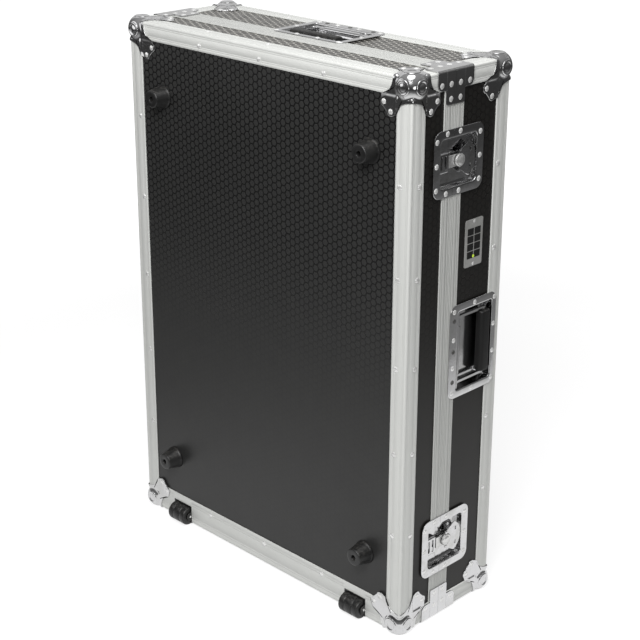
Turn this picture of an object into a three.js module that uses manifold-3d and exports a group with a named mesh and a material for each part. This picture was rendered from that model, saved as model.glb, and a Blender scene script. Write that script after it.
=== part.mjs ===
// Upright road case for DJ gear: a shallow base tray with feet and wheels, and a deep lift-off lid.
// Millimetres. In the case frame X runs across the width, Y from the base board's face to the lid's
// face and Z up, with every outer extrusion face on 0 or on a case size.
import * as THREE from "three";
import { mergeVertices } from "three/addons/utils/BufferGeometryUtils.js";
import Module from "manifold-3d";

const caseWidth = 640;
const caseDepth = 224;
const caseHeight = 920;
const baseDepth = 94;
const clearance = 0.3;
const overrun = 6;

const board = { thickness: 9 };

const edge = {
  thickness: 1.8,
  leg: 30,
  bottomLeg: 48,
  radius: 3.5,
  grooveWidth: 2.6,
  grooveDepth: 0.5,
  arcSteps: 2,
};
const edgeGrooveShares = [0.42, 0.74];

const closure = {
  width: 22,
  innerLeg: 14,
  innerThickness: 1.5,
  lidWeb: 2.5,
  baseWeb: 7,
  tongueWidth: 3,
  tongueHeight: 4,
  tonguePlay: 0.35,
  grooveWidth: 2.4,
  grooveDepth: 0.5,
};
const closureGrooveShares = [0.35, 0.65];

const foam = { thickness: 10 };

const ball = {
  radius: 21,
  inset: 16,
  facetReach: 18.8,
  archStart: 36.5,
  archEnd: 59,
  rivetFar: 55.5,
  rivetNear: 42,
  lobeRadius: 7.6,
  sheet: 1.5,
  archSteps: 3,
  lobeSteps: 2,
  widthSteps: 12,
  heightSteps: 6,
};

const lobeTurnShares = [-0.1, 0.2];

const brace = {
  reach: 40.5,
  row: 29.4,
  tabReach: 20.5,
  tab: 52,
  sheet: 1.5,
  fillet: 10,
  tabFillet: 3,
  filletSteps: 4,
};

const foot = {
  fromSide: 81,
  fromEnd: 121,
  height: 26.8,
  baseRadius: 20,
  shoulderRadius: 19,
  shoulderHeight: 4,
  tipRadius: 14.5,
  tipRounding: 1.5,
  screwRadius: 4.5,
  screwDepth: 14,
  steps: 14,
};

const wheel = {
  fromSide: 100,
  width: 42,
  radius: 17,
  hubRadius: 8,
  hubRecess: 3,
  treadGroove: 1.2,
  treadGrooveWidth: 3,
  rounding: 3,
  axleRadius: 3,
  axleForward: 2.5,
  steps: 14,
};
const treadGrooveShares = [-0.2, 0.2];

const housing = {
  wall: 2.2,
  height: 34.2,
  depth: 22,
  cheekRadius: 8,
  steps: 12,
};

const latch = {
  hubFromSeam: 18,
  recessShift: 5,
  fromBottom: 132,
  fromTop: 141,
  width: 114,
  height: 104,
  cornerRadius: 15,
  recessWidth: 84,
  recessHeight: 76,
  recessRadius: 8,
  recessSteps: 3,
  recessDepth: 9.6,
  sheet: 1.2,
  cornerSteps: 4,
};

const spindle = {
  domeRadius: 10,
  domeRise: 3,
  domeFoot: 2.6,
  stemRadius: 4.5,
  pinRadius: 1.2,
  pinDrop: 1.2,
  steps: 14,
  pinSteps: 6,
};

const domeShares = [[0.9, 0.42], [0.62, 0.84]];

const wing = {
  sheet: 1.5,
  waist: 14.8,
  endPlay: 2.5,
  shoulderFromEnd: 14.5,
  shoulder: 27,
  cornerFromEnd: 4,
  corner: 18,
  tip: 9,
  hubPlay: 0.7,
  knuckleRadius: 2.2,
  holeFromEnd: 11.5,
  holeSide: 13,
  holeLength: 7,
  holeWidth: 3.6,
  holeSteps: 4,
  cutSteps: 10,
};

const hook = {
  sheet: 1.6,
  top: 3.6,
  tip: 21.5,
  tail: 17,
  halfWidth: 9.5,
  lip: 1.5,
  lipDrop: 1.5,
  travelAlong: 9,
  stemPlay: 0.5,
  slotSteps: 5,
};

const keeper = {
  lipFrom: 23,
  lipThickness: 1.2,
  lipHeight: 1.5,
  lipHalf: 8,
  bridgeStart: 25.5,
  bridgeTop: 2.5,
  bridgeSheet: 1.5,
  bridgeHalf: 16,
  slotWidth: 2.5,
  slotHalf: 11,
};
const keeperSlotShares = [0.3, 0.72];

const handle = {
  aboveMiddle: 5.5,
  fromSeam: 7,
  fromPanel: 11,
  hingeMargin: 18,
  gripMargin: 10,
  flangeHalf: 79.5,
  flangeRadius: 14,
  endMargin: 12.5,
  sheet: 1.2,
  recessRadius: 5,
  depth: 16,
  cornerSteps: 5,
  recessSteps: 3,
};

const bail = {
  pivotFromWall: 6.5,
  pivotDrop: 5.5,
  rodRadius: 3.6,
  armThickness: 4,
  armFromEnd: 11.5,
  gripFromWall: 15,
  steps: 10,
};

const grip = {
  halfWidth: 10.8,
  halfThickness: 6.6,
  endPlay: 2.5,
  rounding: 4.2,
  roundingSteps: 3,
  borePlay: 0.5,
  boreSteps: 10,
};

// What follows from the sizes above.
const seamHalf = clearance / 2;
const boardFace = edge.thickness + clearance;
const boardBack = boardFace + board.thickness;
const wallStart = boardBack + clearance;
const lidDepth = caseDepth - baseDepth;
const sheetTop = -clearance - ball.sheet;
const ballProud = ball.facetReach - ball.inset;
const footSeat = boardFace - clearance;
const footTip = footSeat - foot.height;
const housingHalf = wheel.width / 2 + 2 * clearance + housing.wall;
const axleHeight = wheel.radius - ballProud;
const hubY = baseDepth + latch.hubFromSeam;
const recessLow = -latch.recessShift - latch.recessWidth / 2;
const recessHigh = recessLow + latch.recessWidth;
const flangeWidth = lidDepth - handle.fromSeam - handle.fromPanel;
const handleHalf = (flangeWidth - handle.hingeMargin - handle.gripMargin) / 2;
const handleHalfLength = handle.flangeHalf - handle.endMargin;
const flangeBack = handleHalf + handle.hingeMargin;
const flangeFront = handleHalf + handle.gripMargin;
const pivotFromCentre = handleHalf - bail.pivotFromWall;
const gripFromCentre = handleHalf - bail.gripFromWall;
const armCentre = handleHalfLength - bail.armFromEnd;

const wasm = await Module();
wasm.setup();

// A closed geometry as a solid for adding and cutting.
function solidOf(geometry) {
  const bare = geometry.clone();
  bare.deleteAttribute("normal");
  bare.deleteAttribute("uv");
  const merged = mergeVertices(bare);
  const corners = Array.from(merged.index.array);
  const kept = [];
  for (let i = 0; i < corners.length; i += 3) {
    const [a, b, c] = corners.slice(i, i + 3);
    if (a !== b && b !== c && c !== a) {
      kept.push(a, b, c);
    }
  }
  const mesh = new wasm.Mesh({
    numProp: 3,
    vertProperties: new Float32Array(merged.attributes.position.array),
    triVerts: new Uint32Array(kept),
  });
  return new wasm.Manifold(mesh);
}

// The solid's surface as a flat-shaded geometry.
function geometryOf(solid) {
  const mesh = solid.getMesh();
  const geometry = new THREE.BufferGeometry();
  geometry.setAttribute("position", new THREE.BufferAttribute(mesh.vertProperties, 3));
  geometry.setIndex(new THREE.BufferAttribute(mesh.triVerts, 1));
  const flat = geometry.toNonIndexed();
  flat.computeVertexNormals();
  return flat;
}

function join(solids) {
  return solids.reduce((sum, solid) => sum.add(solid));
}

function cut(solid, tools) {
  return tools.reduce((rest, tool) => rest.subtract(tool), solid);
}

// A box from its lowest to its highest corner.
function block(low, high) {
  const size = high.map((value, axis) => value - low[axis]);
  const geometry = new THREE.BoxGeometry(size[0], size[1], size[2]);
  geometry.translate(low[0] + size[0] / 2, low[1] + size[1] / 2, low[2] + size[2] / 2);
  return solidOf(geometry);
}

// An outline of [x, y] points raised from z = low to z = high.
function raise(outline, low, high) {
  const shape = new THREE.Shape(outline.map(([x, y]) => new THREE.Vector2(x, y)));
  const geometry = new THREE.ExtrudeGeometry(shape, { depth: high - low, bevelEnabled: false, steps: 1 });
  geometry.translate(0, 0, low);
  return solidOf(geometry);
}

// A profile of [radius, height] points turned about Z.
function turn(profile, steps) {
  const points = profile.map(([radius, height]) => new THREE.Vector2(radius, height));
  const geometry = new THREE.LatheGeometry(points, steps);
  geometry.rotateX(Math.PI / 2);
  return solidOf(geometry);
}

// A round bar along Z.
function bar(radius, low, high, steps) {
  return turn([[0, low], [radius, low], [radius, high], [0, high]], steps);
}

// Points on a circle's arc, with angles in turns.
function arc(x, y, radius, from, to, steps) {
  return Array.from({ length: steps + 1 }, (_, i) => {
    const angle = 2 * Math.PI * (from + ((to - from) * i) / steps);
    return [x + radius * Math.cos(angle), y + radius * Math.sin(angle)];
  });
}

// A rectangle with rounded corners, counter-clockwise.
function roundedOutline(x0, y0, x1, y1, radius, steps) {
  return [
    ...arc(x1 - radius, y0 + radius, radius, -1 / 4, 0, steps),
    ...arc(x1 - radius, y1 - radius, radius, 0, 1 / 4, steps),
    ...arc(x0 + radius, y1 - radius, radius, 1 / 4, 1 / 2, steps),
    ...arc(x0 + radius, y0 + radius, radius, 1 / 2, 3 / 4, steps),
  ];
}

// Three points for each V groove in a face, at shares of the face's length.
function grooves(shares, length, width, depth) {
  return shares.flatMap((share) => [
    [share * length - width / 2, 0],
    [share * length, depth],
    [share * length + width / 2, 0],
  ]);
}

// The edge extrusion's L section as [inset, depth] points.
function edgeSection(insetLeg) {
  const along = grooves(edgeGrooveShares, edge.leg, edge.grooveWidth, edge.grooveDepth);
  const across = grooves(edgeGrooveShares, insetLeg, edge.grooveWidth, edge.grooveDepth);
  return [
    [0, edge.leg],
    ...along.reverse().map(([position, depth]) => [depth, position]),
    ...arc(edge.radius, edge.radius, edge.radius, 1 / 2, 3 / 4, edge.arcSteps),
    ...across,
    [insetLeg, 0],
    [insetLeg, edge.thickness],
    [edge.thickness, edge.thickness],
    [edge.thickness, edge.leg],
  ];
}

// Counter-clockwise, whichever way it was written.
function wound(section) {
  const area = THREE.ShapeUtils.area(section.map(([x, y]) => new THREE.Vector2(x, y)));
  return area > 0 ? section : [...section].reverse();
}

// A section of [inset, y] points led round the case's four sides with mitred corners. The bottom
// side may have a section of its own with as many points.
function mitredRing(section, bottomSection = section) {
  const loop = wound(section);
  const bottomLoop = wound(bottomSection);
  const turns = [
    { x: 0, z: 0, inX: 1, inZ: 1, ends: bottomLoop },
    { x: caseWidth, z: 0, inX: -1, inZ: 1, ends: bottomLoop },
    { x: caseWidth, z: caseHeight, inX: -1, inZ: -1, ends: loop },
    { x: 0, z: caseHeight, inX: 1, inZ: -1, ends: loop },
  ];
  const positions = turns.flatMap(({ x, z, inX, inZ, ends }) =>
    loop.flatMap(([inset, y], i) => [x + inX * inset, y, z + inZ * ends[i][0]])
  );
  const count = loop.length;
  const index = turns.flatMap((_, side) =>
    loop.flatMap((__, i) => {
      const here = side * count;
      const ahead = ((side + 1) % turns.length) * count;
      const next = (i + 1) % count;
      return [here + i, ahead + i, ahead + next, here + i, ahead + next, here + next];
    })
  );
  const geometry = new THREE.BufferGeometry();
  geometry.setAttribute("position", new THREE.Float32BufferAttribute(positions, 3));
  geometry.setIndex(index);
  return solidOf(geometry);
}

function depthOf(half) {
  return half === "base" ? baseDepth : lidDepth;
}

// A section in a half's own depth, which starts at its outer face, set in the case's Y.
function inCase(half, section) {
  return half === "base" ? section : section.map(([inset, depth]) => [inset, caseDepth - depth]);
}

function placed(solid, matrix) {
  return solid.transform(matrix.toArray());
}

function basis(u, v, w, x, y, z) {
  const matrix = new THREE.Matrix4();
  matrix.makeBasis(new THREE.Vector3(...u), new THREE.Vector3(...v), new THREE.Vector3(...w));
  return matrix.setPosition(x, y, z);
}

// Inward axes (a, b, c) at a corner of the case: a and b across the face, c into its depth.
function cornerFrame(atRight, atBack, atTop) {
  const inX = [atRight ? -1 : 1, 0, 0];
  const inY = [0, atBack ? -1 : 1, 0];
  const inZ = [0, 0, atTop ? -1 : 1];
  const swapped = inX[0] * inY[1] * inZ[2] > 0;
  const origin = [atRight ? caseWidth : 0, atBack ? caseDepth : 0, atTop ? caseHeight : 0];
  return basis(swapped ? inZ : inX, swapped ? inX : inZ, inY, ...origin);
}

// Face frames: u toward the lid's face or the grip, v along the fitting, w out of the case.
function rightFrame(y, z) {
  return basis([0, 1, 0], [0, 0, 1], [1, 0, 0], caseWidth, y, z);
}

function leftFrame(y, z) {
  return basis([0, 1, 0], [0, 0, -1], [-1, 0, 0], 0, y, z);
}

function topFrame(x, y) {
  return basis([0, -1, 0], [1, 0, 0], [0, 0, 1], x, y, caseHeight);
}

// Turns what was made for the c face onto the a face (once) or the b face (twice).
const onFaceA = basis([0, 1, 0], [0, 0, 1], [1, 0, 0], 0, 0, 0);
const onFaceB = basis([0, 0, 1], [1, 0, 0], [0, 1, 0], 0, 0, 0);

// Lays a solid that was raised along Z along v instead.
const alongV = basis([1, 0, 0], [0, 0, -1], [0, 1, 0], 0, 0, 0);

// Lays it along X, for the wheels' axles.
const alongX = basis([0, 1, 0], [0, 0, 1], [1, 0, 0], 0, 0, 0);

const corners = ["base", "lid"].flatMap((half) =>
  [true, false].flatMap((atTop) =>
    [true, false].map((atRight) => ({
      half,
      place: `${atTop ? "top" : "bottom"}_${atRight ? "right" : "left"}`,
      onWideLeg: half === "base" && !atTop,
      matrix: cornerFrame(atRight, half === "lid", atTop),
    }))
  )
);

const latches = [true, false].flatMap((atRight) =>
  [true, false].map((atTop) => {
    const z = atTop ? caseHeight - latch.fromTop : latch.fromBottom;
    return {
      place: `${atTop ? "top" : "bottom"}_${atRight ? "right" : "left"}`,
      matrix: atRight ? rightFrame(hubY, z) : leftFrame(hubY, z),
    };
  })
);

const sideHandleZ = caseHeight / 2 + handle.aboveMiddle;
const flangeStart = baseDepth + handle.fromSeam;
const handles = [
  { name: "side_handle", matrix: rightFrame(flangeStart + flangeBack, sideHandleZ) },
  { name: "top_handle", matrix: topFrame(caseWidth / 2, flangeStart + flangeFront) },
];

const wheels = [
  { place: "left", x: wheel.fromSide },
  { place: "right", x: caseWidth - wheel.fromSide },
];

// Cut-outs through the boards and extrusions.
function latchCuts() {
  const margin = latch.sheet + clearance;
  const halfHeight = latch.recessHeight / 2 + margin;
  const low = [recessLow - margin, -halfHeight, -boardBack - seamHalf];
  const opening = block(low, [recessHigh + margin, halfHeight, overrun]);
  return latches.map(({ matrix }) => placed(opening, matrix));
}

function handleCuts() {
  const margin = handle.sheet + clearance;
  const half = handleHalf + margin;
  const halfLength = handleHalfLength + margin;
  const opening = block([-half, -halfLength, -handle.depth - margin], [half, halfLength, overrun]);
  return handles.map(({ matrix }) => placed(opening, matrix));
}

// Gaps in the lid's lining behind the handles: the whole wall from the mouth down to the floor.
function liningGaps() {
  const halfLength = handleHalfLength + handle.sheet + clearance;
  const deep = wallStart + foam.thickness;
  const floor = caseDepth - deep;
  const middle = caseWidth / 2;
  const sideLow = [caseWidth - deep, -overrun, sideHandleZ - halfLength];
  const topLow = [middle - halfLength, -overrun, caseHeight - deep];
  return [
    block(sideLow, [caseWidth, floor, sideHandleZ + halfLength]),
    block(topLow, [middle + halfLength, floor, caseHeight]),
  ];
}

function housingCuts() {
  const half = housingHalf + clearance;
  return wheels.map(({ x }) => {
    const low = [x - half, -overrun, -overrun];
    return block(low, [x + half, housing.depth + clearance, housing.height + clearance]);
  });
}

// The outer board of a half, its corners notched for the ball corners. The base's is also notched
// along the bottom for the wheel housings.
function outerBoard(half) {
  const front = half === "base" ? boardFace : caseDepth - boardBack;
  const low = [boardFace, front, boardFace];
  const sheet = block(low, [caseWidth - boardFace, front + board.thickness, caseHeight - boardFace]);
  const notch = block([0, 0, 0], [boardBack, boardBack, boardBack + clearance]);
  const notches = corners.filter((corner) => corner.half === half).map(({ matrix }) => placed(notch, matrix));
  return cut(sheet, [...notches, ...(half === "base" ? housingCuts() : [])]);
}

// The ring of side boards of a half, which ends inside the closure extrusion.
function sideBoards(half) {
  const web = half === "base" ? closure.baseWeb : closure.lidWeb;
  const end = depthOf(half) - seamHalf - web - clearance;
  const section = [[boardFace, wallStart], [boardBack, wallStart], [boardBack, end], [boardFace, end]];
  const ring = mitredRing(inCase(half, section));
  return cut(ring, [...latchCuts(), ...(half === "base" ? housingCuts() : handleCuts())]);
}

// The edge extrusions of a half: four mitred lengths round the outer board and a short length
// along each corner as far as the closure. Each corner is cropped for its ball.
function edgeFrame(half) {
  const section = edgeSection(edge.leg);
  const bottomSection = edgeSection(half === "base" ? edge.bottomLeg : edge.leg);
  const ring = mitredRing(inCase(half, section), inCase(half, bottomSection));
  const end = depthOf(half) - closure.width - clearance;
  const riser = raise(section, edge.leg - edge.radius, end);
  const crop = block([-overrun, -overrun, -overrun], [ball.inset, ball.inset, ball.inset]);
  const own = corners.filter((corner) => corner.half === half);
  const frame = join([ring, ...own.map(({ matrix }) => placed(riser, matrix))]);
  const crops = own.map(({ matrix }) => placed(crop, matrix));
  return cut(frame, [...crops, ...(half === "base" ? housingCuts() : handleCuts())]);
}

// The closure extrusion of a half: a channel over the boards' edge, with a groove in the base's
// web for the tongue on the lid's.
function closureRing(half) {
  const isBase = half === "base";
  const depth = depthOf(half);
  const face = depth - seamHalf;
  const web = face - (isBase ? closure.baseWeb : closure.lidWeb);
  const inner = wallStart + closure.innerThickness;
  const middle = (edge.thickness + wallStart) / 2;
  const keyHalf = closure.tongueWidth / 2 + (isBase ? closure.tonguePlay : 0);
  const keyEnd = isBase ? face - closure.tongueHeight - closure.tonguePlay : face + closure.tongueHeight;
  const outside = grooves(closureGrooveShares, closure.width, closure.grooveWidth, closure.grooveDepth);
  const section = [
    [edge.thickness, depth - closure.width],
    [edge.thickness, web],
    [wallStart, web],
    [wallStart, depth - closure.innerLeg],
    [inner, depth - closure.innerLeg],
    [inner, face],
    [middle + keyHalf, face],
    [middle + keyHalf, keyEnd],
    [middle - keyHalf, keyEnd],
    [middle - keyHalf, face],
    [0, face],
    ...outside.map(([position, inset]) => [inset, depth - position]),
    [0, depth - closure.width],
  ];
  const ring = mitredRing(inCase(half, section));
  return cut(ring, [...latchCuts(), ...(isBase ? [] : handleCuts())]);
}

// Foam lining: an open tray inside each half, cut back behind housings and left out behind handles.
function foamLining(half) {
  const end = depthOf(half) - closure.innerLeg - clearance;
  const floor = wallStart + foam.thickness;
  const low = half === "base" ? wallStart : caseDepth - end;
  const high = half === "base" ? end : caseDepth - wallStart;
  const hollowLow = half === "base" ? floor : low - overrun;
  const hollowHigh = half === "base" ? high + overrun : caseDepth - floor;
  const filled = block([wallStart, low, wallStart], [caseWidth - wallStart, high, caseHeight - wallStart]);
  const hollow = block([floor, hollowLow, floor], [caseWidth - floor, hollowHigh, caseHeight - floor]);
  return cut(filled, [hollow, ...(half === "base" ? housingCuts() : [...handleCuts(), ...liningGaps()])]);
}

// The ball corner's sheet on one face: an arch over each extrusion's end, and the riveted lobe.
function cornerOutline() {
  const arch = Array.from({ length: ball.archSteps + 1 }, (_, i) => {
    const angle = (Math.PI / 2) * (i / ball.archSteps);
    const along = ball.archStart + (ball.archEnd - ball.archStart) * (1 - Math.cos(angle));
    return [along, sheetTop + (edge.leg + clearance - sheetTop) * Math.sin(angle)];
  });
  const lobe = arc(ball.rivetFar, ball.rivetNear, ball.lobeRadius, ...lobeTurnShares, ball.lobeSteps);
  const half = [[ball.inset, ball.inset], [ball.inset, sheetTop], ...arch, ...lobe];
  return [...half, ...half.slice(1).map(([x, y]) => [y, x]).reverse()];
}

// The sheet lies over the extrusions. Its lobe steps down to the board, apart from a lobe that
// lies on a wide leg.
function cornerSheet(stepped) {
  const outline = cornerOutline();
  const high = raise(outline, sheetTop, -clearance);
  if (!stepped) {
    return high;
  }
  const reach = 2 * ball.archEnd;
  const stepStart = edge.leg + clearance;
  const recessStart = stepStart + ball.sheet;
  const dropped = raise(outline, sheetTop, edge.thickness).intersect(
    block([stepStart, stepStart, sheetTop], [reach, reach, edge.thickness])
  );
  const recessFloor = edge.thickness - ball.sheet;
  const recess = block([recessStart, recessStart, sheetTop - overrun], [reach, reach, recessFloor]);
  return cut(join([high, dropped]), [recess]);
}

// A ball corner: the ball, hollowed round the extrusions' ends and the notched boards and
// flattened on its outer sides, and its three sheets.
function ballCorner(onWideLeg) {
  const deep = 2 * ball.inset + ball.radius;
  const notch = boardBack - clearance;
  const corner = ball.inset - clearance;
  const sphere = solidOf(new THREE.SphereGeometry(ball.radius, ball.widthSteps, ball.heightSteps));
  const boards = block([edge.thickness, edge.thickness, edge.thickness], [deep, deep, deep]);
  const hollow = cut(block([-clearance, -clearance, -clearance], [deep, deep, deep]), [
    cut(block([-overrun, -overrun, -overrun], [corner, corner, corner]), [boards]),
    block([-overrun, -overrun, -overrun], [notch, notch, notch]),
  ]);
  const trim = block([-deep, -deep, -ballProud - overrun], [deep, deep, -ballProud]);
  const trims = [trim, placed(trim, onFaceA), placed(trim, onFaceB)];
  return join([
    cut(sphere.translate([ball.inset, ball.inset, ball.inset]), [hollow, ...trims]),
    cornerSheet(!onWideLeg),
    placed(cornerSheet(true), onFaceA),
    placed(cornerSheet(true), onFaceB),
  ]);
}

// A closure brace: two plates over the corner beside the seam, each with a row of rivets on the
// edge extrusion and a tab on the closure extrusion.
function closureBrace(depth) {
  const seam = depth - seamHalf;
  const rowEnd = depth - brace.reach;
  const tabEnd = depth - brace.tabReach;
  const tabCorner = brace.tab - brace.tabFillet;
  const rowCorner = brace.row - brace.fillet;
  const outline = [
    [sheetTop, seam],
    [brace.tab, seam],
    ...arc(tabCorner, tabEnd + brace.tabFillet, brace.tabFillet, 0, -1 / 4, brace.filletSteps),
    [brace.row, tabEnd],
    ...arc(rowCorner, rowEnd + brace.fillet, brace.fillet, 0, -1 / 4, brace.filletSteps),
    [sheetTop, rowEnd],
  ];
  const mirrored = outline.map(([x, y]) => [y, x]);
  return join([
    placed(raise(outline, sheetTop, -clearance), onFaceA),
    placed(raise(mirrored, sheetTop, -clearance), onFaceB),
  ]);
}

// A tapered rubber foot with a deep screw hole in its tip, standing along Z on its seat.
function rubberFoot() {
  const { height, baseRadius, shoulderRadius, shoulderHeight, tipRadius, tipRounding } = foot;
  const profile = [
    [0, 0],
    [baseRadius, 0],
    [shoulderRadius, shoulderHeight],
    [tipRadius, height - tipRounding],
    [tipRadius - tipRounding, height],
    [foot.screwRadius, height],
    [foot.screwRadius, height - foot.screwDepth],
    [0, height - foot.screwDepth],
  ];
  return turn(profile, foot.steps);
}

// A transport wheel along X: a grooved tread, rounded shoulders and hubs sunk at both ends.
function transportWheel() {
  const half = wheel.width / 2;
  const { radius, rounding, hubRadius, hubRecess, treadGroove, treadGrooveWidth } = wheel;
  const boreRadius = wheel.axleRadius + clearance;
  const tread = treadGrooveShares.flatMap((share) => [
    [radius, share * wheel.width - treadGrooveWidth / 2],
    [radius - treadGroove, share * wheel.width],
    [radius, share * wheel.width + treadGrooveWidth / 2],
  ]);
  const profile = [
    [boreRadius, -half + hubRecess],
    [hubRadius, -half + hubRecess],
    [hubRadius, -half],
    [radius - rounding, -half],
    [radius, -half + rounding],
    ...tread,
    [radius, half - rounding],
    [radius - rounding, half],
    [hubRadius, half],
    [hubRadius, half - hubRecess],
    [boreRadius, half - hubRecess],
    [boreRadius, -half + hubRecess],
  ];
  return placed(turn(profile, wheel.steps), alongX);
}

// A wheel housing, made round x = 0: a box open to the front and below, cheeks that reach out to
// the axle, and the axle itself.
function wheelHousing() {
  const inner = housingHalf - housing.wall;
  const shell = cut(block([-housingHalf, 0, 0], [housingHalf, housing.depth, housing.height]), [
    block(
      [-inner, -overrun, -overrun],
      [inner, housing.depth - housing.wall, housing.height - housing.wall]
    ),
  ]);
  const axleLine = [0, -wheel.axleForward, axleHeight];
  const noseBar = bar(housing.cheekRadius, inner, housingHalf, housing.steps);
  const nose = placed(noseBar, alongX).translate(axleLine);
  const arm = block(
    [inner, -wheel.axleForward, axleHeight - housing.cheekRadius],
    [housingHalf, housing.wall, axleHeight + housing.cheekRadius]
  );
  const cheek = join([nose, arm]);
  const axleBar = bar(wheel.axleRadius, -housingHalf, housingHalf, housing.steps);
  const axle = placed(axleBar, alongX).translate(axleLine);
  return join([shell, cheek, cheek.translate([-inner - housingHalf, 0, 0]), axle]);
}

// The pressed dish of a latch or handle: a flange over the case's face and a pan let into it.
function dish(flange, recess, depth, sheet) {
  const [x0, y0, x1, y1] = recess.corners;
  const panRadius = recess.radius + sheet;
  const pan = roundedOutline(x0 - sheet, y0 - sheet, x1 + sheet, y1 + sheet, panRadius, recess.steps);
  const hollow = roundedOutline(x0, y0, x1, y1, recess.radius, recess.steps);
  const rim = roundedOutline(...flange.corners, flange.radius, flange.steps);
  const outside = join([
    raise(rim, clearance, clearance + sheet),
    raise(pan, -depth - sheet, clearance + sheet / 2),
  ]);
  return cut(outside, [raise(hollow, -depth, overrun)]);
}

function latchDish() {
  const middle = -latch.recessShift;
  const halfWidth = latch.width / 2;
  const halfHeight = latch.height / 2;
  const flange = {
    corners: [middle - halfWidth, -halfHeight, middle + halfWidth, halfHeight],
    radius: latch.cornerRadius,
    steps: latch.cornerSteps,
  };
  const recess = {
    corners: [recessLow, -latch.recessHeight / 2, recessHigh, latch.recessHeight / 2],
    radius: latch.recessRadius,
    steps: latch.recessSteps,
  };
  return dish(flange, recess, latch.recessDepth, latch.sheet);
}

// The part of a latch dish on one side of the seam.
function dishHalf(half) {
  const far = latch.width + overrun;
  const seam = -latch.hubFromSeam;
  const low = half === "base" ? -far : seam + seamHalf;
  const high = half === "base" ? seam - seamHalf : far;
  return latchDish().intersect(block([low, -far, -far], [high, far, far]));
}

// The base's half dish carries the keeper: a low lip for the hook, and a slotted bridge over it.
function latchCatch() {
  const floor = -latch.recessDepth;
  const rooted = floor - latch.sheet / 2;
  const wallSide = recessLow - latch.sheet / 2;
  const { lipFrom, lipThickness, lipHalf, lipHeight } = keeper;
  const { bridgeStart, bridgeTop, bridgeSheet, bridgeHalf } = keeper;
  const lip = block([-lipFrom - lipThickness, -lipHalf, rooted], [-lipFrom, lipHalf, floor + lipHeight]);
  const bridge = cut(block([wallSide, -bridgeHalf, rooted], [-bridgeStart, bridgeHalf, -bridgeTop]), [
    block(
      [recessLow, -bridgeHalf + bridgeSheet, floor],
      [overrun, bridgeHalf - bridgeSheet, -bridgeTop - bridgeSheet]
    ),
  ]);
  const slots = keeperSlotShares.map((share) => {
    const middle = recessLow + share * (-bridgeStart - recessLow);
    const { slotWidth, slotHalf } = keeper;
    const low = [middle - slotWidth / 2, -slotHalf, -bridgeTop - bridgeSheet - clearance];
    return block(low, [middle + slotWidth / 2, slotHalf, overrun]);
  });
  return join([dishHalf("base"), lip, cut(bridge, slots)]);
}

// The latch spindle: a domed hub on a stem, with the knuckle pin across it.
function latchSpindle() {
  const { domeRadius, domeRise, domeFoot, stemRadius } = spindle;
  const crown = domeShares.map(([across, up]) => [across * domeRadius, up * domeRise]);
  const profile = [
    [0, -latch.recessDepth + clearance],
    [stemRadius, -latch.recessDepth + clearance],
    [stemRadius, -domeFoot],
    [domeRadius, -domeFoot],
    [domeRadius, 0],
    ...crown,
    [0, domeRise],
  ];
  const pinHalf = wing.waist - clearance;
  const pin = placed(bar(spindle.pinRadius, -pinHalf, pinHalf, spindle.pinSteps), alongV);
  return join([turn(profile, spindle.steps), pin.translate([0, 0, -spindle.pinDrop])]);
}

// The folding wing: a butterfly plate round the hub, with finger holes and two knuckles on the pin.
function latchWing() {
  const { waist, shoulder, shoulderFromEnd, corner, cornerFromEnd, tip, sheet } = wing;
  const reach = recessHigh - wing.endPlay;
  const half = [
    [0, waist],
    [reach - shoulderFromEnd, shoulder],
    [reach - cornerFromEnd, corner],
    [reach, tip],
  ];
  const outline = [...half, ...half.map(([x, y]) => [x, -y]).reverse()];
  const low = -spindle.pinDrop - sheet / 2;
  const plate = raise(outline, low, low + sheet);
  const hubHole = bar(spindle.domeRadius + wing.hubPlay, -overrun, overrun, wing.cutSteps);
  const inner = spindle.domeRadius + wing.hubPlay;
  const knuckle = placed(bar(wing.knuckleRadius, inner, waist, spindle.pinSteps), alongV);
  const boreRadius = spindle.pinRadius + clearance;
  const bore = placed(bar(boreRadius, -waist - overrun, waist + overrun, spindle.pinSteps), alongV);
  const knuckles = [knuckle, knuckle.translate([0, -inner - waist, 0])];
  const holes = [-1, 1].map((side) => {
    const end = wing.holeWidth / 2;
    const run = wing.holeLength / 2 - end;
    const slot = [
      ...arc(0, run, end, 0, 1 / 2, wing.holeSteps),
      ...arc(0, -run, end, 1 / 2, 1, wing.holeSteps),
    ];
    return raise(slot, -overrun, overrun).translate([reach - wing.holeFromEnd, side * wing.holeSide, 0]);
  });
  const lowered = (solid) => solid.translate([0, 0, -spindle.pinDrop]);
  const body = join([cut(plate, [hubHole, ...holes]), ...knuckles.map(lowered)]);
  return cut(body, [lowered(bore)]);
}

// The draw hook: a slotted plate round the stem with a lip turned down at its tip.
function latchHook() {
  const { sheet, top, tip, tail, halfWidth, lip, lipDrop, stemPlay, travelAlong, slotSteps } = hook;
  const radius = spindle.stemRadius + stemPlay;
  const plate = block([-tip, -halfWidth, -top - sheet], [tail, halfWidth, -top]);
  const turnedLip = block([-tip, -halfWidth, -top - sheet - lipDrop], [-tip + lip, halfWidth, -top]);
  const slot = [
    ...arc(travelAlong, 0, radius, -1 / 4, 1 / 4, slotSteps),
    ...arc(0, 0, radius, 1 / 4, 3 / 4, slotSteps),
  ];
  return cut(join([plate, turnedLip]), [raise(slot, -latch.recessDepth, 0)]);
}

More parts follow.
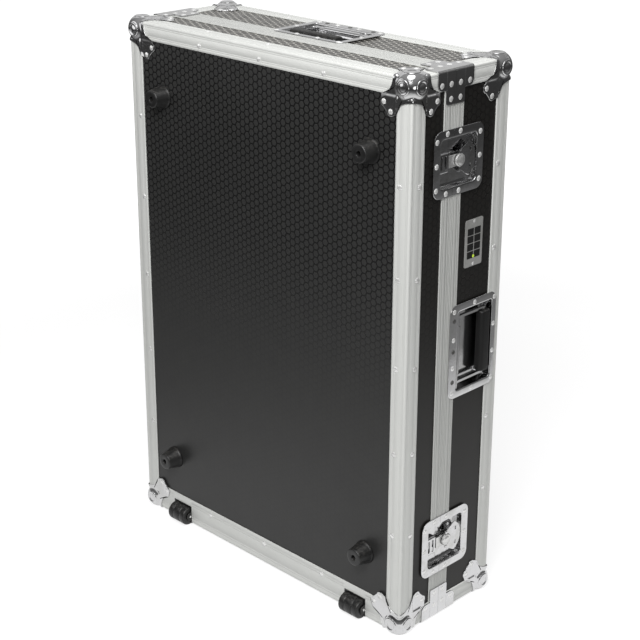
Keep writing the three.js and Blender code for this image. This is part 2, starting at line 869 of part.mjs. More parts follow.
// A handle's dish, with bearing holes for the bail in its end walls.
function handleDish() {
  const flange = {
    corners: [-flangeBack, -handle.flangeHalf, flangeFront, handle.flangeHalf],
    radius: handle.flangeRadius,
    steps: handle.cornerSteps,
  };
  const recess = {
    corners: [-handleHalf, -handleHalfLength, handleHalf, handleHalfLength],
    radius: handle.recessRadius,
    steps: handle.recessSteps,
  };
  const reach = handleHalfLength + overrun;
  const bearing = placed(bar(bail.rodRadius + clearance, -reach, reach, bail.steps), alongV);
  const whole = dish(flange, recess, handle.depth, handle.sheet);
  return cut(whole, [bearing.translate([-pivotFromCentre, 0, -bail.pivotDrop])]);
}

// The bail: a pivot rod, two flat arms and the rod inside the grip.
function handleBail() {
  const { pivotDrop, rodRadius, armThickness, steps } = bail;
  const pivotHalf = handleHalfLength + handle.sheet - clearance;
  const armEnd = armCentre + armThickness / 2;
  const pivotRod = placed(bar(rodRadius, -pivotHalf, pivotHalf, steps), alongV);
  const gripRod = placed(bar(rodRadius, -armEnd, armEnd, steps), alongV);
  const arm = block(
    [-pivotFromCentre, armCentre - armThickness / 2, -rodRadius],
    [gripFromCentre, armEnd, rodRadius]
  );
  const eye = placed(bar(rodRadius, armCentre - armThickness / 2, armEnd, steps), alongV);
  return join([
    pivotRod.translate([-pivotFromCentre, 0, 0]),
    gripRod.translate([gripFromCentre, 0, 0]),
    arm,
    arm.translate([0, -2 * armCentre, 0]),
    eye.translate([gripFromCentre, 0, 0]),
    eye.translate([gripFromCentre, -2 * armCentre, 0]),
  ]).translate([0, 0, -pivotDrop]);
}

// The rubber grip sleeve round the bail's rod.
function handleGrip() {
  const { halfWidth, halfThickness, endPlay, rounding, roundingSteps, borePlay, boreSteps } = grip;
  const halfLength = armCentre - bail.armThickness / 2 - endPlay;
  const corners = [-halfWidth, -halfThickness, halfWidth, halfThickness];
  const outline = roundedOutline(...corners, rounding, roundingSteps);
  const sleeve = raise(outline, -halfLength, halfLength);
  const bore = bar(bail.rodRadius + borePlay, -halfLength - overrun, halfLength + overrun, boreSteps);
  return placed(cut(sleeve, [bore]), alongV).translate([gripFromCentre, 0, -bail.pivotDrop]);
}

function aluminium() {
  return new THREE.MeshStandardMaterial({ color: 0xc8c8c4, roughness: 0.38, metalness: 0.9 });
}

function chrome() {
  return new THREE.MeshStandardMaterial({ color: 0xd6d6d8, roughness: 0.12, metalness: 1 });
}

function laminate() {
  return new THREE.MeshStandardMaterial({ color: 0x242424, roughness: 0.4, metalness: 0 });
}

function rubber() {
  return new THREE.MeshStandardMaterial({ color: 0x141414, roughness: 0.6, metalness: 0 });
}

function plastic() {
  return new THREE.MeshStandardMaterial({ color: 0x1a1a1a, roughness: 0.45, metalness: 0 });
}

function foamMaterial() {
  return new THREE.MeshStandardMaterial({ color: 0x2b2b2d, roughness: 0.95, metalness: 0 });
}

const roadCase = new THREE.Group();
roadCase.position.set(-caseWidth / 2, -(footTip + caseDepth + ballProud) / 2, ballProud);

function add(name, solid, material, matrix = new THREE.Matrix4()) {
  const mesh = new THREE.Mesh(geometryOf(solid), material);
  mesh.name = name;
  matrix.decompose(mesh.position, mesh.quaternion, mesh.scale);
  roadCase.add(mesh);
}

for (const half of ["base", "lid"]) {
  add(`${half}_board`, outerBoard(half), laminate());
  add(`${half}_side_boards`, sideBoards(half), laminate());
  add(`${half}_edge_frame`, edgeFrame(half), aluminium());
  add(`${half}_closure`, closureRing(half), aluminium());
  add(`${half}_lining`, foamLining(half), foamMaterial());
}

for (const { half, place, onWideLeg, matrix } of corners) {
  add(`${half}_corner_${place}`, ballCorner(onWideLeg), chrome(), matrix);
  add(`${half}_brace_${place}`, closureBrace(depthOf(half)), chrome(), matrix);
}

for (const [place, x, z] of [
  ["top_right", caseWidth - foot.fromSide, caseHeight - foot.fromEnd],
  ["top_left", foot.fromSide, caseHeight - foot.fromEnd],
  ["bottom_right", caseWidth - foot.fromSide, foot.fromEnd],
  ["bottom_left", foot.fromSide, foot.fromEnd],
]) {
  add(`foot_${place}`, rubberFoot(), rubber(), basis([1, 0, 0], [0, 0, 1], [0, -1, 0], x, footSeat, z));
}

for (const { place, x } of wheels) {
  add(`wheel_housing_${place}`, wheelHousing(), plastic(), basis([1, 0, 0], [0, 1, 0], [0, 0, 1], x, 0, 0));
  const axle = basis([1, 0, 0], [0, 1, 0], [0, 0, 1], x, -wheel.axleForward, axleHeight);
  add(`wheel_${place}`, transportWheel(), rubber(), axle);
}

for (const { place, matrix } of latches) {
  add(`latch_dish_${place}`, dishHalf("lid"), chrome(), matrix);
  add(`latch_catch_${place}`, latchCatch(), chrome(), matrix);
  add(`latch_spindle_${place}`, latchSpindle(), chrome(), matrix);
  add(`latch_wing_${place}`, latchWing(), chrome(), matrix);
  add(`latch_hook_${place}`, latchHook(), chrome(), matrix);
}

for (const { name, matrix } of handles) {
  add(`${name}_dish`, handleDish(), chrome(), matrix);
  add(`${name}_bail`, handleBail(), chrome(), matrix);
  add(`${name}_grip`, handleGrip(), rubber(), matrix);
}

export default roadCase;
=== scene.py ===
import math

import bmesh
import bpy
import numpy as np
from mathutils import Matrix, Vector


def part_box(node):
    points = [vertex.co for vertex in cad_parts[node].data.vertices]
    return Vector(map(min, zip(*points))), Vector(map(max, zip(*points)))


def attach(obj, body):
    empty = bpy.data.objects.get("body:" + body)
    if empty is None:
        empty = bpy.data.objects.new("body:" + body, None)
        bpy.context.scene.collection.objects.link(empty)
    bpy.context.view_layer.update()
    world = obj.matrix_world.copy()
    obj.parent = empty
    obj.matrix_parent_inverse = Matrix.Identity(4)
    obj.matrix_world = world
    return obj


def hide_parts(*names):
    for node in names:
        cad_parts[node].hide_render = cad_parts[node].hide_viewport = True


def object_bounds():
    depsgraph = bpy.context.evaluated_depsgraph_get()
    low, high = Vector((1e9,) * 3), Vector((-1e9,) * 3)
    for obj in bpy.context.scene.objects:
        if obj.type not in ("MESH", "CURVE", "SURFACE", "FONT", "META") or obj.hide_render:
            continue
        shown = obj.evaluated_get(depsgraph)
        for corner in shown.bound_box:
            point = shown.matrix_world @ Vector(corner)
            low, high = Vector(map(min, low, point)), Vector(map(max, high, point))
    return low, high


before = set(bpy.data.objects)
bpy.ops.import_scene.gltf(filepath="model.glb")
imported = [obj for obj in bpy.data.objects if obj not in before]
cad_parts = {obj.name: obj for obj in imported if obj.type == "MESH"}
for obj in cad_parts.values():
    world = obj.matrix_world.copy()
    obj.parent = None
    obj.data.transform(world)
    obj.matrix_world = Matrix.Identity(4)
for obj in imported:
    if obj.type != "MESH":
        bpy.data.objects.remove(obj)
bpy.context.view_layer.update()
mm = 0.001

# Everything is measured in millimetres on the case, from its lower left front corner.
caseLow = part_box("base_edge_frame")[0]
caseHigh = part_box("lid_edge_frame")[1]
width, depth, height = (round(side / mm, 2) for side in caseHigh - caseLow)
gap = 0.3
seam = round((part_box("base_closure")[1].y - caseLow.y) / mm + gap / 2, 2)
# The four quarters of the case, seen from the front: whether at its top and right, and the name's ending.
quarters = [
    (atTop, atRight, ("top" if atTop else "bottom") + "_" + ("right" if atRight else "left"))
    for atTop in (True, False)
    for atRight in (True, False)
]
print("frame loaded, case", width, depth, height, "seam", seam)


# A part is a dictionary of points, polygons and grain coordinates, which stay with it when it moves.
def makePart(points, polygons, grain=None):
    points = [tuple(p) for p in points]
    return {"points": points, "polygons": polygons, "grain": grain or points}


def moved(part, matrix):
    return makePart([matrix @ Vector(p) for p in part["points"]], part["polygons"], part["grain"])


def shifted(part, x, y, z):
    return moved(part, Matrix.Translation((x, y, z)))


def placed(parts, matrix):
    return [moved(part, matrix) for part in parts]


def turned(part, axis, degrees):
    return moved(part, Matrix.Rotation(math.radians(degrees), 4, axis))


def loft(rings, caps=(True, True), closed=False):
    count = len(rings[0])
    points = [p for ring in rings for p in ring]
    last = len(rings) if closed else len(rings) - 1
    polygons = []
    for i in range(last):
        here, ahead = i * count, ((i + 1) % len(rings)) * count
        for j in range(count):
            k = (j + 1) % count
            polygons.append([here + j, here + k, ahead + k, ahead + j])
    if caps[0] and not closed:
        polygons.append(list(range(count)))
    if caps[1] and not closed:
        polygons.append(list(range((len(rings) - 1) * count, len(rings) * count)))
    return makePart(points, polygons)


def lathe(profile, steps=32, closed=False):
    points, rings, polygons = [], [], []
    for radius, z in profile:
        if radius == 0:
            rings.append([len(points)])
            points.append((0, 0, z))
        else:
            rings.append(list(range(len(points), len(points) + steps)))
            for i in range(steps):
                angle = 2 * math.pi * i / steps
                points.append((radius * math.cos(angle), radius * math.sin(angle), z))
    pairs = list(zip(rings, rings[1:])) + ([(rings[-1], rings[0])] if closed else [])
    for low, high in pairs:
        for i in range(steps):
            j = (i + 1) % steps
            if len(low) == 1:
                polygons.append([low[0], high[i], high[j]])
            elif len(high) == 1:
                polygons.append([low[i], low[j], high[0]])
            else:
                polygons.append([low[i], low[j], high[j], high[i]])
    return makePart(points, polygons)


def arcPoints(x, y, radius, start, end, steps):
    angles = [math.radians(start + (end - start) * i / steps) for i in range(steps + 1)]
    return [(x + radius * math.cos(a), y + radius * math.sin(a)) for a in angles]


def roundedRect(x0, y0, x1, y1, radius, steps=6):
    left, right, low, high = x0 + radius, x1 - radius, y0 + radius, y1 - radius
    points = []
    for i, (x, y) in enumerate(((right, high), (left, high), (left, low), (right, low))):
        points += arcPoints(x, y, radius, 90 * i, 90 * i + 90, steps)
    return points


def softened(outline, radius, steps=4):
    # Rounds every corner of a polygon with a short curve.
    points = []
    for i, corner in enumerate(outline):
        before, after = Vector(outline[i - 1]), Vector(outline[(i + 1) % len(outline)])
        here = Vector(corner)
        toBefore, toAfter = before - here, after - here
        reach = min(radius, toBefore.length * 0.45, toAfter.length * 0.45)
        start, end = here + toBefore.normalized() * reach, here + toAfter.normalized() * reach
        for j in range(steps + 1):
            t = j / steps
            points.append(tuple(start * (1 - t) ** 2 + here * 2 * t * (1 - t) + end * t**2))
    return points


def block(low, high):
    outline = [(low[0], low[1]), (high[0], low[1]), (high[0], high[1]), (low[0], high[1])]
    return loft([[(x, y, z) for x, y in outline] for z in (low[2], high[2])])


def wound(outline, forward):
    area = sum(a[0] * b[1] - b[0] * a[1] for a, b in zip(outline, outline[1:] + outline[:1]))
    return outline if (area > 0) == forward else outline[::-1]


def inScene(name, data):
    item = bpy.data.objects.new(name, data)
    bpy.context.scene.collection.objects.link(item)
    return item


def evaluatedPart(holder):
    # The holder's mesh after its modifiers, as a part; the holder is then dropped.
    mesh = bpy.data.meshes.new_from_object(holder.evaluated_get(bpy.context.evaluated_depsgraph_get()))
    work = bmesh.new()
    work.from_mesh(mesh)
    bmesh.ops.remove_doubles(work, verts=work.verts, dist=0.002)
    bpy.data.objects.remove(holder)
    bpy.data.meshes.remove(mesh)
    return partOf(work)


def plate(outlines, low, high):
    # A flat plate: the first outline is its rim, the others are holes.
    curve = bpy.data.curves.new("plateOutline", "CURVE")
    curve.dimensions = "2D"
    curve.fill_mode = "BOTH"
    curve.extrude = (high - low) / 2
    for i, outline in enumerate(outlines):
        spline = curve.splines.new("POLY")
        spline.points.add(len(outline) - 1)
        for point, (x, y) in zip(spline.points, wound(list(outline), i == 0)):
            point.co = (x, y, 0, 1)
        spline.use_cyclic_u = True
    return shifted(evaluatedPart(inScene("plateOutline", curve)), 0, 0, (low + high) / 2)


def carved(part, cutters):
    # Cuts closed parts out of a closed part.
    def holderOf(source):
        mesh = bpy.data.meshes.new("carving")
        work = meshOf(source)
        bmesh.ops.recalc_face_normals(work, faces=work.faces)
        work.to_mesh(mesh)
        work.free()
        return inScene("carving", mesh)

    whole = holderOf(part)
    tools = [holderOf(cutter) for cutter in cutters]
    for tool in tools:
        modifier = whole.modifiers.new("cut", "BOOLEAN")
        modifier.operation = "DIFFERENCE"
        modifier.solver = "EXACT"
        modifier.object = tool
    result = evaluatedPart(whole)
    for tool in tools:
        bpy.data.objects.remove(tool)
    return result


def partOf(work):
    work.verts.index_update()
    part = makePart([v.co for v in work.verts], [[v.index for v in f.verts] for f in work.faces])
    work.free()
    return part


def meshOf(part):
    work = bmesh.new()
    corners = [work.verts.new(p) for p in part["points"]]
    for polygon in part["polygons"]:
        work.faces.new([corners[i] for i in polygon])
    return work


def halved(part, u, keepAbove):
    # Cuts a closed part at a plane of constant x and closes the cut.
    work = meshOf(part)
    everything = work.verts[:] + work.edges[:] + work.faces[:]
    bmesh.ops.bisect_plane(
        work, geom=everything, dist=0.0001, plane_co=(u, 0, 0), plane_no=(1, 0, 0),
        clear_outer=not keepAbove, clear_inner=keepAbove,
    )
    rim = [e for e in work.edges if len(e.link_faces) == 1]
    bmesh.ops.holes_fill(work, edges=rim, sides=0)
    return partOf(work)


def localFrame(u, v, w, x, y, z):
    axes = Matrix((u, v, w)).transposed().to_4x4()
    return Matrix.Translation(caseLow + Vector((x, y, z)) * mm) @ axes @ Matrix.Scale(mm, 4)


def rightFace(y, z):
    return localFrame((0, 1, 0), (0, 0, 1), (1, 0, 0), width, y, z)


def leftFace(y, z):
    return localFrame((0, 1, 0), (0, 0, -1), (-1, 0, 0), 0, y, z)


def topFace(x, y):
    return localFrame((0, -1, 0), (1, 0, 0), (0, 0, 1), x, y, height)


def bottomFace(x, y):
    return localFrame((0, 1, 0), (1, 0, 0), (0, 0, -1), x, y, 0)


def frontFace(x, z):
    return localFrame((1, 0, 0), (0, 0, 1), (0, -1, 0), x, 0, z)


def backFace(x, z):
    return localFrame((-1, 0, 0), (0, 0, 1), (0, 1, 0), x, depth, z)


def makePiece(name, parts, body, finish, stands=(), bevel=0.0, sharp=34):
    points, polygons, grain = [], [], []
    for part in parts:
        start = len(points)
        points += part["points"]
        grain += part["grain"]
        polygons += [[start + i for i in polygon] for polygon in part["polygons"]]
    mesh = bpy.data.meshes.new(name)
    mesh.from_pydata(points, [], polygons)
    attribute = mesh.attributes.new("grain", "FLOAT_VECTOR", "POINT")
    attribute.data.foreach_set("vector", [c for p in grain for c in p])
    work = bmesh.new()
    work.from_mesh(mesh)
    bmesh.ops.recalc_face_normals(work, faces=work.faces)
    work.to_mesh(mesh)
    work.free()
    mesh.polygons.foreach_set("use_smooth", [True] * len(mesh.polygons))
    mesh.set_sharp_from_angle(angle=math.radians(sharp))
    mesh.materials.append(finish)
    piece = inScene(name, mesh)
    if bevel:
        addBevel(piece, bevel)
    for node in stands:
        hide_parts(node)
    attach(piece, body)
    return piece


def addBevel(piece, size):
    modifier = piece.modifiers.new("roundedEdges", "BEVEL")
    modifier.width = size * mm
    modifier.segments = 2
    modifier.limit_method = "ANGLE"
    modifier.angle_limit = math.radians(38)
    modifier.harden_normals = True


def dressNode(name, finish, bevel=0.0):
    # Keeps a solid of the frame, with its own finish and softened edges.
    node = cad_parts[name]
    node.data.materials.clear()
    node.data.materials.append(finish)
    node.modifiers.new("weld", "WELD").merge_threshold = 0.00002
    if bevel:
        addBevel(node, bevel)


# Helpers for shader nodes: a value may be a number, a vector or a socket.
def put(tree, kind, inputs=None, **settings):
    node = tree.nodes.new("ShaderNode" + kind)
    for key, value in settings.items():
        setattr(node, key, value)
    for key, value in (inputs or {}).items():
        if isinstance(value, bpy.types.NodeSocket):
            tree.links.new(value, node.inputs[key])
        else:
            node.inputs[key].default_value = value
    return node


def feed(tree, inputs, sources):
    for label, source in sources.items():
        tree.links.new(source, inputs[label])


def maths(tree, operation, first, second=0.0, third=0.0):
    return put(tree, "Math", {0: first, 1: second, 2: third}, operation=operation).outputs[0]


def vectors(tree, operation, *operands):
    node = put(tree, "VectorMath", dict(enumerate(operands)), operation=operation)
    return node.outputs["Value" if operation in ("LENGTH", "DISTANCE", "DOT_PRODUCT") else "Vector"]


def noise(tree, place, scale, detail, roughness=0.5):
    inputs = {"Vector": place, "Scale": scale, "Detail": detail, "Roughness": roughness}
    return put(tree, "TexNoise", inputs).outputs[0]


def blendColours(tree, factor, first, second):
    # Written colours are turned from their six digits into linear light.
    first, second = ((*linear(c), 1) if isinstance(c, str) else c for c in (first, second))
    inputs = {0: factor, 6: first, 7: second}
    return put(tree, "Mix", inputs, data_type="RGBA").outputs[2]


def ranged(tree, value, fromLow, fromHigh, toLow, toHigh, smooth=False):
    kind = "SMOOTHSTEP" if smooth else "LINEAR"
    inputs = {0: value, 1: fromLow, 2: fromHigh, 3: toLow, 4: toHigh}
    return put(tree, "MapRange", inputs, interpolation_type=kind).outputs[0]


def newGroup(name, inputs, outputs):
    tree = bpy.data.node_groups.new(name, "ShaderNodeTree")
    for label, value in inputs.items():
        socket = tree.interface.new_socket(label, in_out="INPUT", socket_type="NodeSocketFloat")
        socket.default_value = value
    for label in outputs:
        tree.interface.new_socket(label, in_out="OUTPUT", socket_type="NodeSocketFloat")
    return tree, tree.nodes.new("NodeGroupInput").outputs, tree.nodes.new("NodeGroupOutput").inputs


def useGroup(tree, group, **values):
    node = tree.nodes.new("ShaderNodeGroup")
    node.node_tree = group
    for label, value in values.items():
        node.inputs[label].default_value = value
    return node.outputs


def newFinish(name, constants):
    material = bpy.data.materials.new(name)
    material.use_nodes = True
    tree = material.node_tree
    shader = tree.nodes["Principled BSDF"]
    for label, value in constants.items():
        shader.inputs[label].default_value = value
    return material, tree, shader.inputs


def linear(code):
    channels = [int(code[i : i + 2], 16) / 255 for i in (0, 2, 4)]
    return tuple(c / 12.92 if c <= 0.04045 else ((c + 0.055) / 1.055) ** 2.4 for c in channels)


def bump(tree, relief, strength, distance):
    return put(tree, "Bump", {"Strength": strength, "Distance": distance, "Height": relief}).outputs[0]


def honeycombGroup():
    # The pattern is painted faint near the end that the case stands on and full in the upper half: a painted
    # reflection, standing in for the floor's reflection washing the pattern out low down.
    inputs = {"Pitch": 0.012, "Gap": 0.0017, "Softness": 0.0008}
    inputs |= {"ReflectionFadeBelow": 0.36, "FullAbove": 0.64, "PatternLeftInReflection": 0.12}
    tree, given, result = newGroup("honeycombEmboss", inputs, ("Cell", "Height", "Tint"))
    place = put(tree, "TexCoord").outputs
    x, y, z = put(tree, "SeparateXYZ", {0: place["Object"]}).outputs
    facing = put(tree, "SeparateXYZ", {0: place["Normal"]}).outputs
    onSide, onTop = (maths(tree, "GREATER_THAN", maths(tree, "ABSOLUTE", facing[i]), 0.5) for i in (0, 2))
    across = maths(tree, "MULTIPLY_ADD", onSide, maths(tree, "SUBTRACT", y, x), x)
    along = maths(tree, "MULTIPLY_ADD", onTop, maths(tree, "SUBTRACT", y, z), z)
    halfAcross = maths(tree, "MULTIPLY", given["Pitch"], math.sqrt(3) / 2)
    halfAlong = maths(tree, "MULTIPLY", given["Pitch"], 0.5)
    spot = put(tree, "CombineXYZ", {0: across, 1: along}).outputs[0]
    step = put(tree, "CombineXYZ", {0: halfAcross, 1: halfAlong}).outputs[0]
    limit = put(tree, "CombineXYZ", {0: halfAcross, 1: halfAlong, 2: 1.0}).outputs[0]
    lowLimit = vectors(tree, "MULTIPLY", limit, (-1, -1, -1))
    # Two staggered grids of points: each spot belongs to the nearer one of its two cells.
    first = vectors(tree, "WRAP", spot, limit, lowLimit)
    second = vectors(tree, "WRAP", vectors(tree, "ADD", spot, step), limit, lowLimit)
    nearer = maths(tree, "LESS_THAN", vectors(tree, "LENGTH", second), vectors(tree, "LENGTH", first))
    chosen = put(tree, "Mix", {0: nearer, 4: first, 5: second}, data_type="VECTOR").outputs[1]
    fromCentre = put(tree, "SeparateXYZ", {0: chosen}).outputs
    sideways, up = (maths(tree, "ABSOLUTE", fromCentre[i]) for i in (0, 1))
    slanted = maths(tree, "MULTIPLY_ADD", sideways, math.sqrt(3) / 2, maths(tree, "MULTIPLY", up, 0.5))
    reach = maths(tree, "MAXIMUM", up, slanted)
    edge = maths(tree, "MULTIPLY_ADD", given["Gap"], -0.5, halfAlong)
    inner = maths(tree, "SUBTRACT", edge, given["Softness"])
    # Painted reflection: the pattern's contrast fades toward the bottom.
    shown = ranged(tree, z, given["ReflectionFadeBelow"], given["FullAbove"], given["PatternLeftInReflection"], 1.0, smooth=True)
    groove = ranged(tree, reach, inner, edge, 0.0, 1.0, smooth=True)
    cell = maths(tree, "SUBTRACT", 1.0, maths(tree, "MULTIPLY", groove, shown))
    pebble = noise(tree, place["Object"], 900.0, 2.0)
    height = maths(tree, "MULTIPLY_ADD", pebble, 0.12, cell)
    feed(tree, result, {"Cell": cell, "Tint": noise(tree, place["Object"], 55.0, 3.0), "Height": height})
    return tree


def drawnGroup():
    tree, given, result = newGroup("drawnGrain", {"Across": 1.6, "Along": 0.02}, ("Value", "Height"))
    run = put(tree, "Attribute", attribute_name="grain", attribute_type="GEOMETRY").outputs["Vector"]
    scale = put(tree, "CombineXYZ", {0: given["Across"], 1: given["Across"], 2: given["Along"]}).outputs[0]
    spot = vectors(tree, "MULTIPLY", run, scale)
    fine = noise(tree, spot, 1.0, 4.0, 0.6)
    broad = maths(tree, "MULTIPLY", noise(tree, spot, 0.17, 2.0), 0.4)
    feed(tree, result, {"Value": maths(tree, "MULTIPLY_ADD", fine, 0.6, broad), "Height": fine})
    return tree


def marksGroup():
    inputs = {"Scale": 9.0, "Fineness": 260.0, "Amount": 0.5}
    tree, given, result = newGroup("handlingMarks", inputs, ("Smudge", "Ripple", "Speck"))
    place = put(tree, "TexCoord").outputs["Object"]
    cloud = noise(tree, place, given["Scale"], 5.0, 0.65)
    smudge = maths(tree, "MULTIPLY", ranged(tree, cloud, 0.42, 0.68, 0.0, 1.0, smooth=True), given["Amount"])
    speck = noise(tree, place, given["Fineness"], 2.0)
    feed(tree, result, {"Smudge": smudge, "Ripple": cloud, "Speck": speck})
    return tree


def paintedCreviceShadeGroup():
    tree, given, result = newGroup("paintedCreviceShade", {"Reach": 0.002, "Amount": 0.8}, ("Mask",))
    # Painted shade: the mask is high where ambient occlusion finds creases and gaps between parts.
    openness = put(tree, "AmbientOcclusion", {"Distance": given["Reach"]}, samples=6).outputs["AO"]
    closed = ranged(tree, openness, 0.75, 0.35, 0.0, 1.0, smooth=True)
    feed(tree, result, {"Mask": maths(tree, "MULTIPLY", closed, given["Amount"])})
    return tree


def dustGroup():
    inputs = {"Amount": 0.3, "Scale": 140.0, "BareBelow": 0.45, "FullAbove": 0.7}
    tree, given, result = newGroup("settledDust", inputs, ("Mask",))
    place = put(tree, "TexCoord").outputs
    upward = put(tree, "SeparateXYZ", {0: place["Normal"]}).outputs[2]
    lying = ranged(tree, upward, 0.1, 0.9, 0.0, 1.0, smooth=True)
    motes = noise(tree, place["Object"], given["Scale"], 6.0, 0.7)
    patches = ranged(tree, motes, given["BareBelow"], given["FullAbove"], 0.0, 1.0, smooth=True)
    dusted = maths(tree, "MULTIPLY", lying, patches)
    feed(tree, result, {"Mask": maths(tree, "MULTIPLY", dusted, given["Amount"])})
    return tree


def edgeWearAndHighlightGroup():
    tree, given, result = newGroup("edgeWearAndHighlight", {"Radius": 0.0008, "Amount": 0.6}, ("Mask",))
    # Pale edges: wear, and painted highlights along the edges.
    rounded = put(tree, "Bevel", {"Radius": given["Radius"]}, samples=3).outputs[0]
    agreement = vectors(tree, "DOT_PRODUCT", rounded, put(tree, "NewGeometry").outputs["Normal"])
    edge = ranged(tree, agreement, 0.995, 0.9, 0.0, 1.0)
    broken = maths(tree, "MULTIPLY", edge, noise(tree, put(tree, "TexCoord").outputs["Object"], 180.0, 3.0))
    feed(tree, result, {"Mask": maths(tree, "MULTIPLY", broken, given["Amount"])})
    return tree


honeycomb = honeycombGroup()
drawnGrain = drawnGroup()
handlingMarks = marksGroup()
settledDust = dustGroup()
paintedCreviceShade = paintedCreviceShadeGroup()
edgeWearAndHighlight = edgeWearAndHighlightGroup()
print("shader groups built")

noiseSpan = (0.3, 0.7)  # where most of a noise's values lie
aluminiumLook = {
    "colour": "cfd0cd",
    "dull": "c6c7c4",
    # pale edges: wear and painted edge highlight
    "wornAndLitEdge": "efefec",
    "roughness": (0.46, 0.56),
    "metal": 0.25,
}
# The closure extrusions get a darker copy of the same aluminium: painted shade.
closureLook = {**aluminiumLook, "colour": "bbbcb9", "dull": "b0b1ae"}
chromeLook = {
    "colour": "c9c9ca",
    "film": "b6b6b4",
    # the colour of the painted shade in creases and gaps
    "creviceShade": "1d1d1c",
    "roughness": (0.06, 0.18),
    "ripple": 0.25,
    "scale": 16.0,
    "metal": 1.0,
}
dishLook = {**chromeLook, "ripple": 0.4, "scale": 40.0}


def chromeLike(colour, film, roughness, ripple, metal, scale=16.0):
    look = {"colour": colour, "film": film, "roughness": roughness}
    return {**chromeLook, **look, "ripple": ripple, "metal": metal, "scale": scale}


zincLook = chromeLike("d0d0cf", "b4b4b2", (0.1, 0.22), 0.55, 0.7, 90.0)
rivetLook = chromeLike("e0e0df", "c4c4c2", (0.12, 0.24), 0.2, 0.5)
satinLook = chromeLike("989896", "82827f", (0.36, 0.5), 0.2, 0.2)
screwLook = chromeLike("5a5a58", "3c3c3b", (0.3, 0.45), 0.3, 0.5)
laminateLook = {
    "cell": "2a2a29",
    "shade": "242424",
    "gap": "0f0f0f",
    "dust": "6e6a64",
    # pale grooves on upward faces: dust and painted glints
    "dustAndGlint": "b8b5ae",
    "roughness": (0.34, 0.2),
    "gloss": 0.3,
    "emboss": 0.25,
}
# The side and end boards get a darker copy of the front's laminate, with less gloss and emboss: painted
# shade.
sideLook = {**laminateLook, "cell": "1f1e1c", "shade": "191817", "gap": "161514"}
sideLook |= {"roughness": (0.32, 0.26), "gloss": 0.2, "emboss": 0.18}
rubberLook = {
    "colour": "0e0e0e",
    "pale": "2c2c2b",
    "dust": "625f5a",
    "roughness": (0.3, 0.46),
    "gloss": 0.5,
    "coat": 0.0,
}
gripLook = {**rubberLook, "colour": "0c0c0c", "pale": "242424", "roughness": (0.45, 0.6), "gloss": 0.3}
tyreLook = {**rubberLook, "colour": "0f0f0f", "roughness": (0.34, 0.5)}
housingLook = {**rubberLook, "colour": "1d1d1d", "pale": "454543", "roughness": (0.35, 0.5), "coat": 0.1}
foamLook = {"colour": "262628", "pale": "3b3b3e", "pore": "1b1b1c", "dust": "575552"}


def aluminiumFinish(name, look):
    material, tree, shader = newFinish(name, {"Metallic": look["metal"]})
    grain = useGroup(tree, drawnGrain, Across=1.3, Along=0.012)
    marks = useGroup(tree, handlingMarks, Scale=7.0, Amount=0.5)
    # Pale edges: wear and painted edge highlights.
    edgeWearAndLight = useGroup(tree, edgeWearAndHighlight, Radius=0.0006, Amount=0.5)
    tone = ranged(tree, grain["Value"], *noiseSpan, 0.0, 1.0)
    base = blendColours(tree, tone, look["dull"], look["colour"])
    marked = blendColours(tree, marks["Smudge"], base, look["dull"])
    feed(tree, shader, {
        "Base Color": blendColours(tree, edgeWearAndLight["Mask"], marked, look["wornAndLitEdge"]),
        "Roughness": ranged(tree, grain["Value"], *noiseSpan, *look["roughness"]),
        "Normal": bump(tree, grain["Height"], 0.06, 0.0002),
    })
    return material


def chromeFinish(name, look):
    material, tree, shader = newFinish(name, {"Metallic": look["metal"]})
    marks = useGroup(tree, handlingMarks, Scale=look["scale"], Amount=0.7)
    # Painted shade: the colour goes dark in creases and where parts meet.
    creviceShade = useGroup(tree, paintedCreviceShade, Reach=0.0022, Amount=0.85)
    filmed = blendColours(tree, marks["Smudge"], look["colour"], look["film"])
    feed(tree, shader, {
        "Base Color": blendColours(tree, creviceShade["Mask"], filmed, look["creviceShade"]),
        "Roughness": ranged(tree, marks["Ripple"], 0.3, 0.75, *look["roughness"]),
        "Normal": bump(tree, marks["Ripple"], look["ripple"], 0.0012),
    })
    return material


def laminateFinish(name, look):
    material, tree, shader = newFinish(name, {"Specular IOR Level": look["gloss"]})
    comb = useGroup(tree, honeycomb, Pitch=0.012)
    marks = useGroup(tree, handlingMarks, Scale=4.0, Amount=0.5)
    dust = useGroup(tree, settledDust, Amount=0.18, Scale=160.0)
    cell = blendColours(tree, comb["Tint"], look["shade"], look["cell"])
    colour = blendColours(tree, comb["Cell"], look["gap"], cell)
    dusty = blendColours(tree, dust["Mask"], colour, look["dust"])
    # The grooves of the faces that look up are pale: settled dust and painted glints along the honeycomb's
    # edges.
    dustAndGlint = useGroup(tree, settledDust, Amount=0.6, Scale=60.0, BareBelow=0.2, FullAbove=0.5)
    inGrooves = maths(tree, "MULTIPLY", dustAndGlint["Mask"], maths(tree, "SUBTRACT", 1.0, comb["Cell"]))
    onCells, onGaps = look["roughness"]
    rough = ranged(tree, comb["Cell"], 0.0, 1.0, onGaps, onCells)
    feed(tree, shader, {
        "Base Color": blendColours(tree, inGrooves, dusty, look["dustAndGlint"]),
        "Roughness": maths(tree, "MULTIPLY_ADD", marks["Smudge"], 0.12, rough),
        "Normal": bump(tree, comb["Height"], look["emboss"], 0.0005),
    })
    return material


